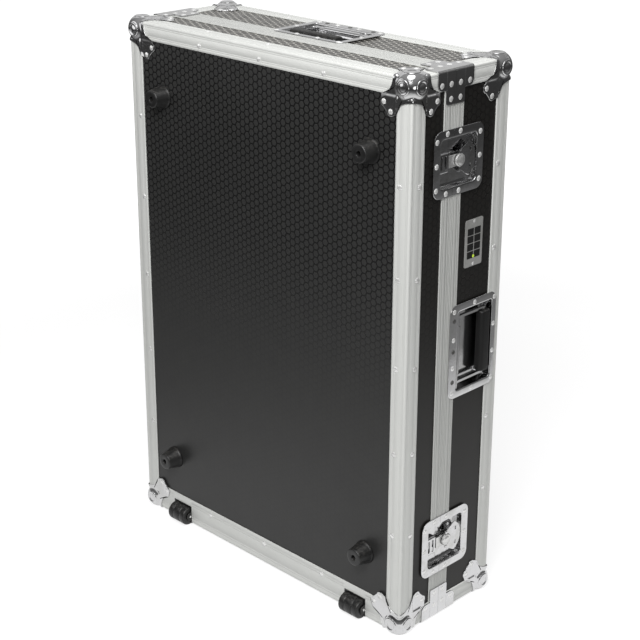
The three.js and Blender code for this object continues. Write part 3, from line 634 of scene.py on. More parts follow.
def rubberFinish(name, look):
    constants = {"Coat Weight": look["coat"], "Specular IOR Level": look["gloss"]}
    material, tree, shader = newFinish(name, constants)
    marks = useGroup(tree, handlingMarks, Scale=30.0, Fineness=1400.0, Amount=0.6)
    dust = useGroup(tree, settledDust, Amount=0.3, Scale=220.0)
    # Pale edges: wear and painted edge highlights.
    edgeWearAndLight = useGroup(tree, edgeWearAndHighlight, Radius=0.0007, Amount=0.7)
    wornAndLitEdge = blendColours(tree, edgeWearAndLight["Mask"], look["colour"], look["pale"])
    feed(tree, shader, {
        "Base Color": blendColours(tree, dust["Mask"], wornAndLitEdge, look["dust"]),
        "Roughness": ranged(tree, marks["Ripple"], *noiseSpan, *look["roughness"]),
        "Normal": bump(tree, marks["Speck"], 0.25, 0.0003),
    })
    return material


def foamFinish(name, look):
    material, tree, shader = newFinish(name, {"Roughness": 0.95})
    place = put(tree, "TexCoord").outputs["Object"]
    pores = put(tree, "TexVoronoi", {"Vector": place, "Scale": 620.0}).outputs["Distance"]
    cloud = noise(tree, place, 22.0, 4.0)
    dust = useGroup(tree, settledDust, Amount=0.25, Scale=90.0)
    pored = blendColours(tree, ranged(tree, pores, 0.0, 0.6, 0.0, 1.0), look["pore"], look["colour"])
    varied = blendColours(tree, ranged(tree, cloud, 0.35, 0.7, 0.0, 0.5), pored, look["pale"])
    feed(tree, shader, {
        "Base Color": blendColours(tree, dust["Mask"], varied, look["dust"]),
        "Normal": bump(tree, pores, 0.5, 0.0006),
    })
    return material


def paintFinish(name, colour, pale):
    material, tree, shader = newFinish(name, {"Roughness": 0.4})
    marks = useGroup(tree, handlingMarks, Scale=60.0, Amount=0.5)
    feed(tree, shader, {"Base Color": blendColours(tree, marks["Smudge"], colour, pale)})
    return material


aluminium = aluminiumFinish("drawnAluminium", aluminiumLook)
closureAluminium = aluminiumFinish("closureAluminium", closureLook)
chrome = chromeFinish("pressedChrome", chromeLook)
dishChrome = chromeFinish("pressedDishes", dishLook)
zinc = chromeFinish("platedHardware", zincLook)
rivetSteel = chromeFinish("rivetHeads", rivetLook)
satinSteel = chromeFinish("satinPlate", satinLook)
screwSteel = chromeFinish("darkScrews", screwLook)
frontLaminate = laminateFinish("embossedLaminate", laminateLook)
sideLaminate = laminateFinish("sideLaminate", sideLook)
footRubber = rubberFinish("footRubber", rubberLook)
gripRubber = rubberFinish("gripRubber", gripLook)
wheelRubber = rubberFinish("wheelRubber", tyreLook)
housingPlastic = rubberFinish("housingPlastic", housingLook)
foam = foamFinish("closedCellFoam", foamLook)
signalPaint = paintFinish("yellowGreenPaint", "c9e83c", "dcf078")
print("finishes built")

# Aluminium extrusions: angles round both halves, and the closure's tongue and groove at the seam.
edge = {
    "leg": 30.0,
    "bottomLeg": 48.0,
    "thickness": 1.8,
    "chamfer": 0.4,
    "ribClearance": 1.5,
    "radius": 3.5,
    "ribs": (6.0, 8.6, 22.4, 25.0),
    "ribWidth": 1.3,
    "ribDepth": 0.2,
    "cornerInset": 31.0,
}
closure = {
    "width": 22.0,
    "innerLeg": 14.0,
    "innerThickness": 1.5,
    "lidWeb": 2.5,
    "baseWeb": 7.0,
    "tongueWidth": 3.0,
    "tongueHeight": 4.0,
    "play": 0.35,
    "seamChamfer": 0.5,
    "ribs": (3.4, 7.2, 14.8, 18.6),
    "ribWidth": 1.6,
    "ribDepth": 0.45,
}
wallStart = 11.4  # depth of the closure's inner leg, behind the board
ribShape = ((-0.5, 0.0), (-0.22, 0.85), (0.0, 1.0), (0.22, 0.85), (0.5, 0.0))  # shares of width and depth


def ribPoints(positions, shape):
    points = []
    for position in positions:
        points += [(position + u * shape["ribWidth"], v * shape["ribDepth"]) for u, v in ribShape]
    return points


def edgeSection(insetLeg, depthLeg):
    # Points run from the side leg's end round the corner to the end of the leg on the panel.
    along = [p for p in edge["ribs"] if p < depthLeg - edge["ribClearance"]]
    across = [p * insetLeg / edge["leg"] for p in edge["ribs"]]
    side = [(d, p) for p, d in reversed(ribPoints(along, edge))]
    c, t, r = edge["chamfer"], edge["thickness"], edge["radius"]
    return (
        [(c, depthLeg), (0.0, depthLeg - c)]
        + side
        + arcPoints(r, r, r, 180, 270, 6)
        + ribPoints(across, edge)
        + [(insetLeg - c, 0.0), (insetLeg, c), (insetLeg, t), (t, t), (t, depthLeg)]
    )


def closureSection(half):
    isBase = half == "base"
    face = -gap / 2
    web = face - (closure["baseWeb"] if isBase else closure["lidWeb"])
    middle = (edge["thickness"] + wallStart) / 2
    keyHalf = closure["tongueWidth"] / 2 + (closure["play"] if isBase else 0)
    keyEnd = face - closure["tongueHeight"] - closure["play"] if isBase else face + closure["tongueHeight"]
    inner = wallStart + closure["innerThickness"]
    t = edge["thickness"]
    c, end, atSeam = edge["chamfer"], closure["width"], closure["seamChamfer"]
    outside = [(d, -p) for p, d in ribPoints(closure["ribs"], closure)]
    return [
        (t, -end), (t, web), (wallStart, web), (wallStart, -closure["innerLeg"]),
        (inner, -closure["innerLeg"]), (inner, face), (middle + keyHalf, face), (middle + keyHalf, keyEnd),
        (middle - keyHalf, keyEnd), (middle - keyHalf, face), (atSeam, face), (0.0, face - atSeam),
        *outside, (0.0, c - end), (c, -end),
    ]


def run(section, start, end, mitreStart=False, mitreEnd=False):
    # A straight length of a section: x is the inset, y the depth and z along the length.
    rings = []
    for at, mitred, sign in ((start, mitreStart, 1), (end, mitreEnd, -1)):
        rings.append([(x, y, at + (sign * x if mitred else 0)) for x, y in section])
    return loft(rings)


def sideMatrices(half):
    # Where a run goes: its inset turned in from each side of the case, its depth from the half's panel.
    inY = 1 if half == "base" else -1
    y = 0 if half == "base" else depth
    return {
        "right": (localFrame((-1, 0, 0), (0, inY, 0), (0, 0, 1), width, y, 0), height),
        "left": (localFrame((1, 0, 0), (0, inY, 0), (0, 0, 1), 0, y, 0), height),
        "top": (localFrame((0, 0, -1), (0, inY, 0), (1, 0, 0), 0, y, height), width),
        "bottom": (localFrame((0, 0, 1), (0, inY, 0), (1, 0, 0), 0, y, 0), width),
    }


# Where the fittings sit on the case, and how far the extrusions are cut back for them.
latch = {"hubY": 112.0, "low": 132.0, "high": 779.0, "cut": 39.5}
handle = {"sideY": 161.0, "sideZ": 465.5, "topY": 153.0, "cutAcross": 43.5, "cutAlong": 68.5}
wheel = {"fromSide": 100.0, "cut": 24.1, "cutDepth": 22.3, "cutHeight": 34.5}


def edgeParts(half):
    parts = []
    isBase = half == "base"
    leg, wide, inset = edge["leg"], edge["bottomLeg"], edge["cornerInset"]
    for side, (matrix, length) in sideMatrices(half).items():
        insetLeg = wide if isBase and side == "bottom" else leg
        whole = edgeSection(insetLeg, leg)
        stops = [(inset, length - inset, whole)]
        if not isBase and side in ("right", "top"):
            middle = handle["sideZ"] if side == "right" else width / 2
            far = handle["sideY"] if side == "right" else handle["topY"]
            kept = depth - far - handle["cutAcross"]
            low, high = middle - handle["cutAlong"], middle + handle["cutAlong"]
            stops = [(inset, low, whole), (low, high, edgeSection(leg, kept)), (high, length - inset, whole)]
        if isBase and side == "bottom":
            spots = (wheel["fromSide"], width - wheel["fromSide"])
            ends = [inset, *(x + sign * wheel["cut"] for x in spots for sign in (-1, 1)), length - inset]
            stops = [(ends[i], ends[i + 1], whole) for i in (0, 2, 4)]
            # Beside each wheel's notch both legs go on, cut back by the notch.
            t, c, low, deep = edge["thickness"], edge["chamfer"], wheel["cutHeight"], wheel["cutDepth"]
            front = [(low, 0), (wide - c, 0), (wide, c), (wide, t), (low, t)]
            under = [(0, deep), (t, deep), (t, leg), (c, leg), (0, leg - c)]
            for i in (1, 3):
                stops += [(ends[i], ends[i + 1], front), (ends[i], ends[i + 1], under)]
        parts += [moved(run(section, start, end), matrix) for start, end, section in stops]
    end = (seam if isBase else depth - seam) - closure["width"] - gap
    for atRight in (True, False):
        for atTop in (True, False):
            matrix = cornerFrame(atRight, not isBase, atTop)
            parts.append(moved(run(edgeSection(leg, leg), inset, end), matrix))
    return parts


def cornerFrame(atRight, atBack, atTop):
    inX = (-1 if atRight else 1, 0, 0)
    inY = (0, -1 if atBack else 1, 0)
    inZ = (0, 0, -1 if atTop else 1)
    swapped = inX[0] * inY[1] * inZ[2] > 0
    first, second = (inZ, inX) if swapped else (inX, inZ)
    x, y, z = (side if far else 0 for side, far in ((width, atRight), (depth, atBack), (height, atTop)))
    return localFrame(first, second, inY, x, y, z)


def closureParts(half):
    parts = []
    isBase = half == "base"
    section = [(x, y + (seam if isBase else depth - seam)) for x, y in closureSection(half)]
    for side, (matrix, length) in sideMatrices(half).items():
        stops = [0.0]
        if side in ("right", "left"):
            for z in (latch["low"], latch["high"]):
                stops += [z - latch["cut"], z + latch["cut"]]
        stops.append(length)
        for i in range(0, len(stops), 2):
            parts.append(moved(run(section, stops[i], stops[i + 1], i == 0, i + 2 == len(stops)), matrix))
    return parts


for half in ("base", "lid"):
    for kind, parts, finish, node in (
        ("EdgeExtrusions", edgeParts(half), aluminium, "_edge_frame"),
        ("ClosureExtrusions", closureParts(half), closureAluminium, "_closure"),
    ):
        makePiece(half + kind, parts, half, finish, [half + node], sharp=50)
    dressNode(half + "_board", frontLaminate)
    dressNode(half + "_side_boards", sideLaminate)
print("extrusions and boards done")

# Ball corners: a ball on a pressed sheet with two lobes on each face, and a ringed facet toward each face.
corner = {
    "ball": 23.5,
    "inset": 15.0,
    "neckStart": 21.0,
    "neckEnd": 34.0,
    "neckDrop": 3.3,
    "neckRounding": 6.0,
    "sheetTop": 1.8,
    "sheetUnder": 0.3,
    "rounding": 4.5,
    "roundingUnder": 3.0,
    "rimBack": 0.35,
    "blend": 1.5,
    "drop": 2.1,
    "dropStart": 29.5,
    "dropLength": 2.4,
    "archSteps": 12,
    "archStart": 36.5,
    "archEnd": 59.0,
    "lobeFar": 55.5,
    "lobeNear": 42.0,
    "lobe": 7.6,
    "lobeArc": (-36, 78),
    "facetProud": 5.0,
    "endFacetProud": 1.4,
    "radialSteps": 30,
}
# A facet's ring: shares of its radius, and the rise over its flat.
facetRing = (
    (0, 1.1), (0.18, 1.02), (0.34, 0.75), (0.46, 0.3), (0.53, -0.05), (0.58, -0.1), (0.63, 0.2), (0.69, 0.75),
    (0.76, 1.18), (0.83, 1.35), (0.9, 1.2), (0.96, 0.75), (1.0, 0.1), (1.02, -0.8), (0.9, -2.5), (0, -2.5),
)


def cornerOutline():
    top, steps = corner["sheetTop"], corner["archSteps"]
    points = []
    for i in range(steps + 1):
        angle = math.radians(90 * i / steps)
        along = corner["archStart"] + (corner["archEnd"] - corner["archStart"]) * (1 - math.cos(angle))
        points.append((along, -top + (edge["leg"] + gap + top) * math.sin(angle)))
    points += arcPoints(corner["lobeFar"], corner["lobeNear"], corner["lobe"], *corner["lobeArc"], 9)
    mirrored = [(y, x) for x, y in reversed(points)]
    start, end = Vector(points[-1]), Vector(mirrored[0])
    between = [tuple(start.lerp(end, i / 4)) for i in (1, 2, 3)]
    return points + between + mirrored


def eased(t):
    t = np.clip(t, 0, 1)
    return t * t * (3 - 2 * t)


def cornerField(p, lift, rounding, stepped, proud):
    # Signed distance to the corner's skin. The faces are at -lift on each axis.
    x, y, z = p.T

    def stepDown(a, b, active):
        share = (np.minimum(a, b) - corner["dropStart"]) / corner["dropLength"]
        return corner["drop"] * eased(share) * active

    # Round the ball the sheet sinks and its edges get rounder, like a neck.
    neck = 1 - eased((p.max(1) - corner["neckStart"]) / (corner["neckEnd"] - corner["neckStart"]))
    lift = lift - corner["neckDrop"] * neck
    rounding = rounding + corner["neckRounding"] * neck
    faces = np.stack([
        -x - lift + stepDown(y, z, stepped[0]),
        -y - lift + stepDown(x, z, stepped[1]),
        -z - lift + stepDown(x, y, stepped[2]),
    ])
    q = np.maximum(faces + rounding, 0)
    shell = np.sqrt((q**2).sum(0)) - rounding + np.minimum(faces.max(0) + rounding, 0)
    if proud is None:
        return shell
    centre = corner["inset"]
    ball = np.sqrt(((p - centre) ** 2).sum(1)) - corner["ball"]
    for axis, reach in zip((x, y, z), proud):
        flat = -axis - reach
        h = np.clip(0.5 + 0.5 * (ball - flat), 0, 1)
        ball = ball * h + flat * (1 - h) + h * (1 - h)
    h = np.clip(0.5 + 0.5 * (ball - shell) / corner["blend"], 0, 1)
    return ball * (1 - h) + shell * h - corner["blend"] * h * (1 - h)


def projected(points, lift, rounding, stepped, proud=None, back=0.0):
    # Moves points out from the corner's core to its skin, found by halving the way again and again.
    farthest, halvings = 1.8, 34
    origin = np.maximum(points, corner["inset"])
    low, high = np.zeros(len(points)), np.full(len(points), farthest)
    for _ in range(halvings):
        middle = (low + high) / 2
        inside = cornerField(origin + (points - origin) * middle[:, None], lift, rounding, stepped, proud) < 0
        low, high = np.where(inside, middle, low), np.where(inside, high, middle)
    return origin + (points - origin) * (low - back / (corner["inset"] + corner["sheetTop"]))[:, None]


def ballCorner(wideLeg, endAxis):
    # The facet on the end that the case stands on is cut lower, level with the wheels.
    proud = [corner["endFacetProud"] if axis == endAxis else corner["facetProud"] for axis in range(3)]
    outline = cornerOutline()
    count, top, steps = len(outline), corner["sheetTop"], corner["radialSteps"]
    shares = [i / steps for i in range(steps)] + [0.994, 1.0]
    work = bmesh.new()
    stepped = (1, 1, 0 if wideLeg else 1)
    for order in ((0, 1, 2), (1, 2, 0), (2, 0, 1)):
        spread = [(s * (x + top), s * (y + top), 0) for s in shares for x, y in outline]
        flat = np.array(spread) - top
        turnedTo = np.empty_like(flat)
        for source, target in enumerate(order):
            turnedTo[:, target] = flat[:, source]
        outer = projected(turnedTo, top, corner["rounding"], stepped, proud)
        rim = projected(turnedTo[-count:], top, corner["rounding"], stepped, proud, corner["rimBack"])
        outer = np.concatenate([outer[:-count], rim])
        inner = projected(turnedTo, corner["sheetUnder"], corner["roundingUnder"], stepped)
        for grid in (outer, inner):
            points = [work.verts.new(p) for p in grid]
            rows = [points[i : i + count] for i in range(0, len(points), count)]
            for low, high in zip(rows, rows[1:]):
                for j in range(count - 1):
                    work.faces.new([low[j], low[j + 1], high[j + 1], high[j]])
            if grid is outer:
                edgeRow = rows[-1]
            else:
                for j in range(count - 1):
                    work.faces.new([edgeRow[j], edgeRow[j + 1], rows[-1][j + 1], rows[-1][j]])
    bmesh.ops.remove_doubles(work, verts=work.verts, dist=0.004)
    bmesh.ops.dissolve_degenerate(work, edges=work.edges, dist=0.001)
    shell = partOf(work)
    c = corner["inset"]
    seats = (
        Matrix.Translation((0, c, c)) @ Matrix.Rotation(-math.pi / 2, 4, "Y"),
        Matrix.Translation((c, 0, c)) @ Matrix.Rotation(math.pi / 2, 4, "X"),
        Matrix.Translation((c, c, 0)) @ Matrix.Rotation(math.pi, 4, "X"),
    )
    facets = []
    for seat, reach in zip(seats, proud):
        radius = math.sqrt(corner["ball"] ** 2 - (c + reach) ** 2)
        facets.append(moved(lathe([(radius * share, reach + rise) for share, rise in facetRing], 48), seat))
    return [shell, *facets]


rivetShape = {"radius": 4.5, "rise": 1.5, "lowRise": 1.0, "sink": 0.4}


def rivetHead(radius, rise):
    sink = rivetShape["sink"]
    shape = ((0, 1.0), (0.25, 0.97), (0.48, 0.86), (0.68, 0.66), (0.84, 0.4), (0.95, 0.16), (1.0, 0.0))
    return lathe([(radius * r, rise * h) for r, h in shape] + [(radius, -sink), (0, -sink)], 20)


rivets = {"base": [], "lid": []}


def addRivet(half, matrix, at=(0, 0, 0), radius=rivetShape["radius"], rise=rivetShape["rise"]):
    rivets[half].append(moved(rivetHead(radius, rise), matrix @ Matrix.Translation(at)))


def addSheetRivet(half, matrix, spot, level, rise):
    # On the sheet over one of the corner's outer faces.
    addRivet(half, matrix @ Matrix.Translation((*spot, 0)) @ outward, (0, 0, level), rise=rise)


onFaceA = Matrix(((0, 0, 1, 0), (1, 0, 0, 0), (0, 1, 0, 0), (0, 0, 0, 1)))
faceTurns = (Matrix.Identity(4), onFaceA, onFaceA @ onFaceA)
outward = Matrix.Rotation(math.pi, 4, "X")  # from the corner's inward axes to those of its outer faces
lobeSpots = ((corner["lobeFar"], corner["lobeNear"]), (corner["lobeNear"], corner["lobeFar"]))
for half in ("base", "lid"):
    for atTop, atRight, place in quarters:
        wide = half == "base" and not atTop
        matrix = cornerFrame(atRight, half == "lid", atTop)
        endAxis = None if atTop else int(atRight == (half == "base"))
        parts = placed(ballCorner(wide, endAxis), matrix)
        node = "corner_" + place
        makePiece(half + "_ball_" + node, parts, half, chrome, [half + "_" + node], sharp=60)
        for turnCount, faceTurn in enumerate(faceTurns):
            # The sheet steps down at its lobes, but not on the wide leg.
            onLeg = wide and turnCount == 0
            level = corner["sheetTop"] - (0 if onLeg else corner["drop"])
            rise = rivetShape["lowRise" if onLeg else "rise"]
            for spot in lobeSpots:
                addSheetRivet(half, matrix @ faceTurn, spot, level, rise)
print("ball corners done")

# Closure braces, folded over the edges beside the seam.
brace = {
    "row": 29.4,
    "rowReach": 40.5,
    "rowCorner": 10.0,
    "tab": 52.0,
    "tabReach": 20.5,
    "tabCorner": 3.0,
    "fold": 4.5,
    "top": 1.8,
    "under": 0.3,
    "rowRivets": ((21.0, 10.5), (21.0, 31.5)),
    "tabRivet": (43.0, 10.5),
}


def foldedRing(reach, level):
    # The folded sheet's section at one depth, from one free edge over the fold to the other.
    top, under, fold = brace["top"], brace["under"], brace["fold"]
    middle = fold - top
    outer = [(reach, -under - 0.3), (reach - 0.12, -top + 0.28), (reach - 0.5, -top)]
    outer += arcPoints(middle, middle, fold, 270, 180, 8)
    outer += [(y, x) for x, y in reversed(outer[:3])]
    inner = [(-under, reach)] + arcPoints(middle, middle, fold - top + under, 180, 270, 8) + [(reach, -under)]
    return [(x, y, level) for x, y in outer + inner]


def bracePart(seamDepth):
    face = seamDepth - gap / 2
    rings = [foldedRing(brace["tab"], face)]
    for limit, start, radius in (("tab", "tabReach", "tabCorner"), ("row", "rowReach", "rowCorner")):
        if limit == "row":
            rings.append(foldedRing(brace["row"], face - brace["tabReach"]))
        radius = brace[radius]
        for along, reach in arcPoints(brace[start] - radius, brace[limit] - radius, radius, 90, 0, 6):
            rings.append(foldedRing(reach, face - along))
    return loft(rings)


for half in ("base", "lid"):
    depthOfHalf = seam if half == "base" else depth - seam
    folded = bracePart(depthOfHalf)
    for atTop, atRight, place in quarters:
        matrix = cornerFrame(atRight, half == "lid", atTop)
        name, node = half + "_folded_brace_" + place, half + "_brace_" + place
        makePiece(name, placed([folded], matrix), half, chrome, [node], 0.3)
        for across, along in (*brace["rowRivets"], brace["tabRivet"]):
            deep = depthOfHalf - along
            for faceTurn, spot in ((faceTurns[1], (across, deep)), (faceTurns[2], (deep, across))):
                addSheetRivet(half, matrix @ faceTurn, spot, brace["top"], rivetShape["lowRise"])
print("closure braces done")

# Rubber feet on the base panel.
foot = {
    "fromSide": 81.0,
    "fromEnd": 121.0,
    "seat": -1.8,
    "tip": 25.0,
    "screwFloor": 11.0,
    "screw": (3.8, 1.6),
}
footProfile = [
    (0, foot["seat"]), (20.0, foot["seat"]), (20.0, -0.6), (19.7, 0.6), (19.0, 1.6), (18.6, 2.6),
    (14.9, 22.9), (14.6, 23.9), (13.9, 24.7), (13.0, foot["tip"]),
    (5.3, foot["tip"]), (4.8, 24.8), (4.5, 24.3), (4.5, foot["screwFloor"]), (0, foot["screwFloor"]),
]
footPart = lathe(footProfile, 56)
for atTop, atRight, place in quarters:
    x = width - foot["fromSide"] if atRight else foot["fromSide"]
    z = height - foot["fromEnd"] if atTop else foot["fromEnd"]
    matrix = frontFace(x, z)
    parts = placed([footPart], matrix)
    makePiece("rubber_foot_" + place, parts, "base", footRubber, ["foot_" + place], sharp=40)
    addRivet("base", matrix, (0, 0, foot["screwFloor"]), *foot["screw"])

# Transport wheels in their housings.
wheelShape = {
    "radius": 17.0,
    "half": 21.0,
    "hub": 8.0,
    "hubFace": 18.0,
    "bore": 3.3,
    "rounding": 3.0,
    "grooves": (-8.4, 8.4),
    "axleY": -2.5,
    "axleZ": 14.2,
    "axleHead": 23.8,
    "axleCap": (2.3, 0.9),
}
grooveShape = ((1.6, 0.0), (1.1, 0.25), (0.6, 1.0), (0.0, 1.2), (-0.6, 1.0), (-1.1, 0.25), (-1.6, 0.0))


def wheelPart():
    radius, half, rounding = wheelShape["radius"], wheelShape["half"], wheelShape["rounding"]
    hub, hubFace = wheelShape["hub"], wheelShape["hubFace"]
    end = [(wheelShape["bore"], hubFace), (hub - 0.6, hubFace), (hub, half - 0.7), (hub + 0.7, half)]
    end += [(radius - rounding - 1.4, half)]
    end += [(x, y) for y, x in arcPoints(half - rounding, radius - rounding, rounding, 0, 90, 6)]
    tread = []
    for middle in reversed(wheelShape["grooves"]):
        tread += [(radius - sunk, middle + offset) for offset, sunk in grooveShape]
    return lathe(end + tread + [(r, -z) for r, z in reversed(end)], 72, closed=True)


rolling = wheelPart()
for side, x in (("left", wheel["fromSide"]), ("right", width - wheel["fromSide"])):
    node = "wheel_" + side
    matrix = localFrame((0, 1, 0), (0, 0, 1), (1, 0, 0), x, wheelShape["axleY"], wheelShape["axleZ"])
    makePiece("rolling_" + node, placed([rolling], matrix), node, wheelRubber, [node])
    dressNode("wheel_housing_" + side, housingPlastic, 0.7)
    for facing in (0, math.pi):
        end = matrix @ Matrix.Rotation(facing, 4, "X")
        addRivet("base", end, (0, 0, wheelShape["axleHead"]), *wheelShape["axleCap"])
print("feet and wheels done")

sheet = 1.2  # of the pressed dishes of latches and handles


def grown(corners, by):
    x0, y0, x1, y1 = corners
    return (x0 - by, y0 - by, x1 + by, y1 + by)


def pressedDish(shape):
    # Rings run from the middle of the floor up the wall, over the flange and back underneath.
    flange, recess, floor = shape["flange"], shape["recess"], shape["floor"]
    profile = [
        (recess, -6.0, floor), (recess, -2.4, floor), (recess, -1.1, floor + 0.4),
        (recess, -0.4, floor + 1.5), (recess, -0.1, -0.6), (recess, 0.15, 0.5), (recess, 0.6, 1.15),
        (recess, 1.4, 1.45), (recess, 2.6, 1.5), (flange, -1.2, 1.5), (flange, -0.4, 1.35),
        (flange, 0.0, 0.9), (flange, 0.0, 0.45), (flange, -0.3, 0.3), (recess, 2.6, 0.3),
        (recess, 1.6, 0.1), (recess, 1.2, -0.6), (recess, 1.1, floor + 0.9), (recess, 0.4, floor - 0.6),
        (recess, -1.2, floor - sheet), (recess, -6.0, floor - sheet),
    ]
    rings = []
    for corners, by, level in profile:
        radius = max(shape["recessRadius" if corners is recess else "flangeRadius"] + by, 1.0)
        rings.append([(x, y, level) for x, y in roundedRect(*grown(corners, by), radius, 8)])
    return loft(rings)


def roundBar(radius, low, high, steps=24, rounding=0.4):
    # Along the local v axis.
    waist = radius - rounding
    lower = [(0, low), (waist, low), (radius, low + rounding)]
    upper = [(radius, high - rounding), (waist, high), (0, high)]
    return turned(lathe(lower + upper, steps), "X", -90)


# Butterfly latches. In each latch's frame u points to the lid, v up or down the side and w outward.
latchShape = {
    "flange": (-62.0, -52.0, 52.0, 52.0),
    "flangeRadius": 15.0,
    "recess": (-47.0, -38.0, 37.0, 38.0),
    "recessRadius": 8.0,
    "floor": -9.6,
    "seam": -18.0,
    "bridgeEnd": -25.5,
    "bridgeTop": -2.5,
    "bridgeFoot": -10.2,
    "bridgeHalf": 16.0,
    "bridgeBend": 3.0,
    "bridgeSheet": 1.5,
    "slots": (-40.5, -31.5),
    "slotWidth": 4.2,
    "slotHalf": 11.0,
    "lip": ((-24.2, -8.0, -10.2), (-23.0, 8.0, -8.1)),
    "pinDrop": 1.2,
    "pinRadius": 1.2,
    "pinHalf": 14.5,
    "hubHole": 10.7,
    "knuckleEnd": 14.8,
    "knuckle": 2.2,
    "knuckleBore": 1.5,
    "wingHalfSheet": 0.75,
    "wingRounding": 3.0,
    "fingerHole": (23.0, 13.0),
    "fingerHoleRadius": 1.8,
    "fingerHoleHalf": 1.7,
    "rivetLevel": 1.5,
    "rivet": 4.4,
}
spindleProfile = [
    (0, -9.3), (4.5, -9.3), (4.5, -2.6), (9.5, -2.6), (10.0, -2.1), (10.0, -0.2), (9.85, 0.5), (9.3, 1.1),
    (8.6, 1.35), (7.9, 1.2), (7.3, 1.25), (6.4, 1.9), (4.8, 2.55), (2.6, 2.9), (0, 3.0),
]
wingOutline = [(0, 14.8), (20.0, 27.0), (30.5, 18.0), (34.5, 9.0)]


def keeperBridge():
    top, half, thick = latchShape["bridgeTop"], latchShape["bridgeHalf"], latchShape["bridgeSheet"]
    bend, foot = latchShape["bridgeBend"], latchShape["bridgeFoot"]
    bends = ((half - bend, 0, 90), (bend - half, 90, 180))
    outer, inner = [(half, foot)], [(half - thick, foot)]
    for v, start, end in bends:
        outer += arcPoints(v, top - bend, bend, start, end, 5)
        inner += arcPoints(v, top - bend, bend - thick, start, end, 5)
    section = outer + [(-half, foot), (thick - half, foot)] + inner[:0:-1] + inner[:1]
    ends = (latchShape["recess"][0] - 0.5, latchShape["bridgeEnd"])
    channel = loft([[(u, v, w) for v, w in section] for u in ends])
    slots = []
    for u in latchShape["slots"]:
        side, reach = latchShape["slotWidth"] / 2, latchShape["slotHalf"]
        outline = roundedRect(u - side, -reach, u + side, reach, side * 0.98, 4)
        slots.append(loft([[(x, y, w) for x, y in outline] for w in (top - thick - 1.0, top + 1.0)]))
    return carved(channel, slots)


def wingParts():
    half = wingOutline + [(x, -y) for x, y in reversed(wingOutline)]
    rim = softened(half, latchShape["wingRounding"])
    slots = []
    hole, far = latchShape["fingerHoleRadius"], latchShape["fingerHoleHalf"]
    x, y = latchShape["fingerHole"]
    for middle in (-y, y):
        upper, lower = ((middle + far, 0, 180), (middle - far, 180, 360))
        slots.append([p for at, start, end in (upper, lower) for p in arcPoints(x, at, hole, start, end, 8)])
    drop, reach, end = latchShape["pinDrop"], latchShape["hubHole"], latchShape["knuckleEnd"]
    rim += arcPoints(0, 0, reach, -90, 90, 20)
    bore, outside = latchShape["knuckleBore"], latchShape["knuckle"]
    knuckle = lathe([(bore, reach), (outside, reach), (outside, end), (bore, end)], 20, closed=True)
    knuckles = [shifted(turned(knuckle, "X", angle), 0, 0, -drop) for angle in (-90, 90)]
    thick = latchShape["wingHalfSheet"]
    return [plate([rim, *slots], -drop - thick, -drop + thick), *knuckles]


dishWhole = pressedDish(latchShape)
catchPart = halved(dishWhole, latchShape["seam"] - gap / 2, False)
dishPart = halved(dishWhole, latchShape["seam"] + gap / 2, True)
bridge = keeperBridge()
lip = block(*latchShape["lip"])
spindlePart = lathe(spindleProfile, 48)
pinHalf = latchShape["pinHalf"]
pin = shifted(roundBar(latchShape["pinRadius"], -pinHalf, pinHalf, 16, 0.2), 0, 0, -latchShape["pinDrop"])
wing = wingParts()
latchRivets = [(-56.0, -37.0), (-56.0, 0.0), (-56.0, 37.0), (43.5, -37.0), (43.5, 0.0), (43.5, 37.0)]
latchRivets += [(u, v) for u in (-33.0, -3.5) for v in (-46.0, 46.0)]
for atTop, atRight, place in quarters:
    z = latch["high"] if atTop else latch["low"]
    matrix = (rightFace if atRight else leftFace)(latch["hubY"], z)
    for name, parts, body, finish, node, bevel in (
        ("keeper_plate_", [catchPart, bridge, lip], "base", dishChrome, "latch_catch_", 0.25),
        ("latch_plate_", [dishPart], "lid", dishChrome, "latch_dish_", 0.25),
        ("turning_hub_", [spindlePart, pin], "latch_spindle_" + place, zinc, "latch_spindle_", 0.0),
        ("butterfly_wing_", wing, "latch_wing_" + place, dishChrome, "latch_wing_", 0.35),
    ):
        parts = placed(parts, matrix)
        makePiece(name + place, parts, body, finish, [node + place], bevel)
    dressNode("latch_hook_" + place, zinc, 0.4)
    for u, v in latchRivets:
        half = "base" if u < latchShape["seam"] else "lid"
        addRivet(half, matrix, (u, v, latchShape["rivetLevel"]), latchShape["rivet"])
print("latches done")

# Spring handles: dish with a hinge cover, sprung bail with two arms, and a moulded grip.
handleShape = {
    "flange": (-60.0, -79.5, 52.0, 79.5),
    "flangeRadius": 14.0,
    "recess": (-42.0, -67.0, 42.0, 67.0),
    "recessRadius": 5.0,
    "floor": -16.0,
    "pivot": -35.5,
    "drop": 5.5,
    "rod": 3.6,
    "armAt": 55.5,
    "armHalf": 2.0,
    "armWaist": 0.72,
    "armTapers": (7.0, 6.0),
    "armRounding": 1.2,
    "grip": 27.0,
    "rodEnd": 67.9,
    "gripRodEnd": 57.0,
    "cover": 5.2,
    "coverHalf": 43.0,
    "coverBack": 0.5,
    "coverRounding": 3.0,
    "rivetLevel": 1.5,
    "rivet": (4.2, 1.4),
}
gripShape = {
    "halfWidth": 11.2,
    "halfThickness": 8.2,
    "half": 52.0,
    "rounding": 6.4,
    "bore": 4.1,
    "raised": 1.4,
}
# Along the grip from its middle: share of its half length, and how far it is drawn in there.
gripEnds = ((0.93, 0.0), (0.955, 0.1), (0.98, 0.5), (0.995, 1.2), (1, 1.9))


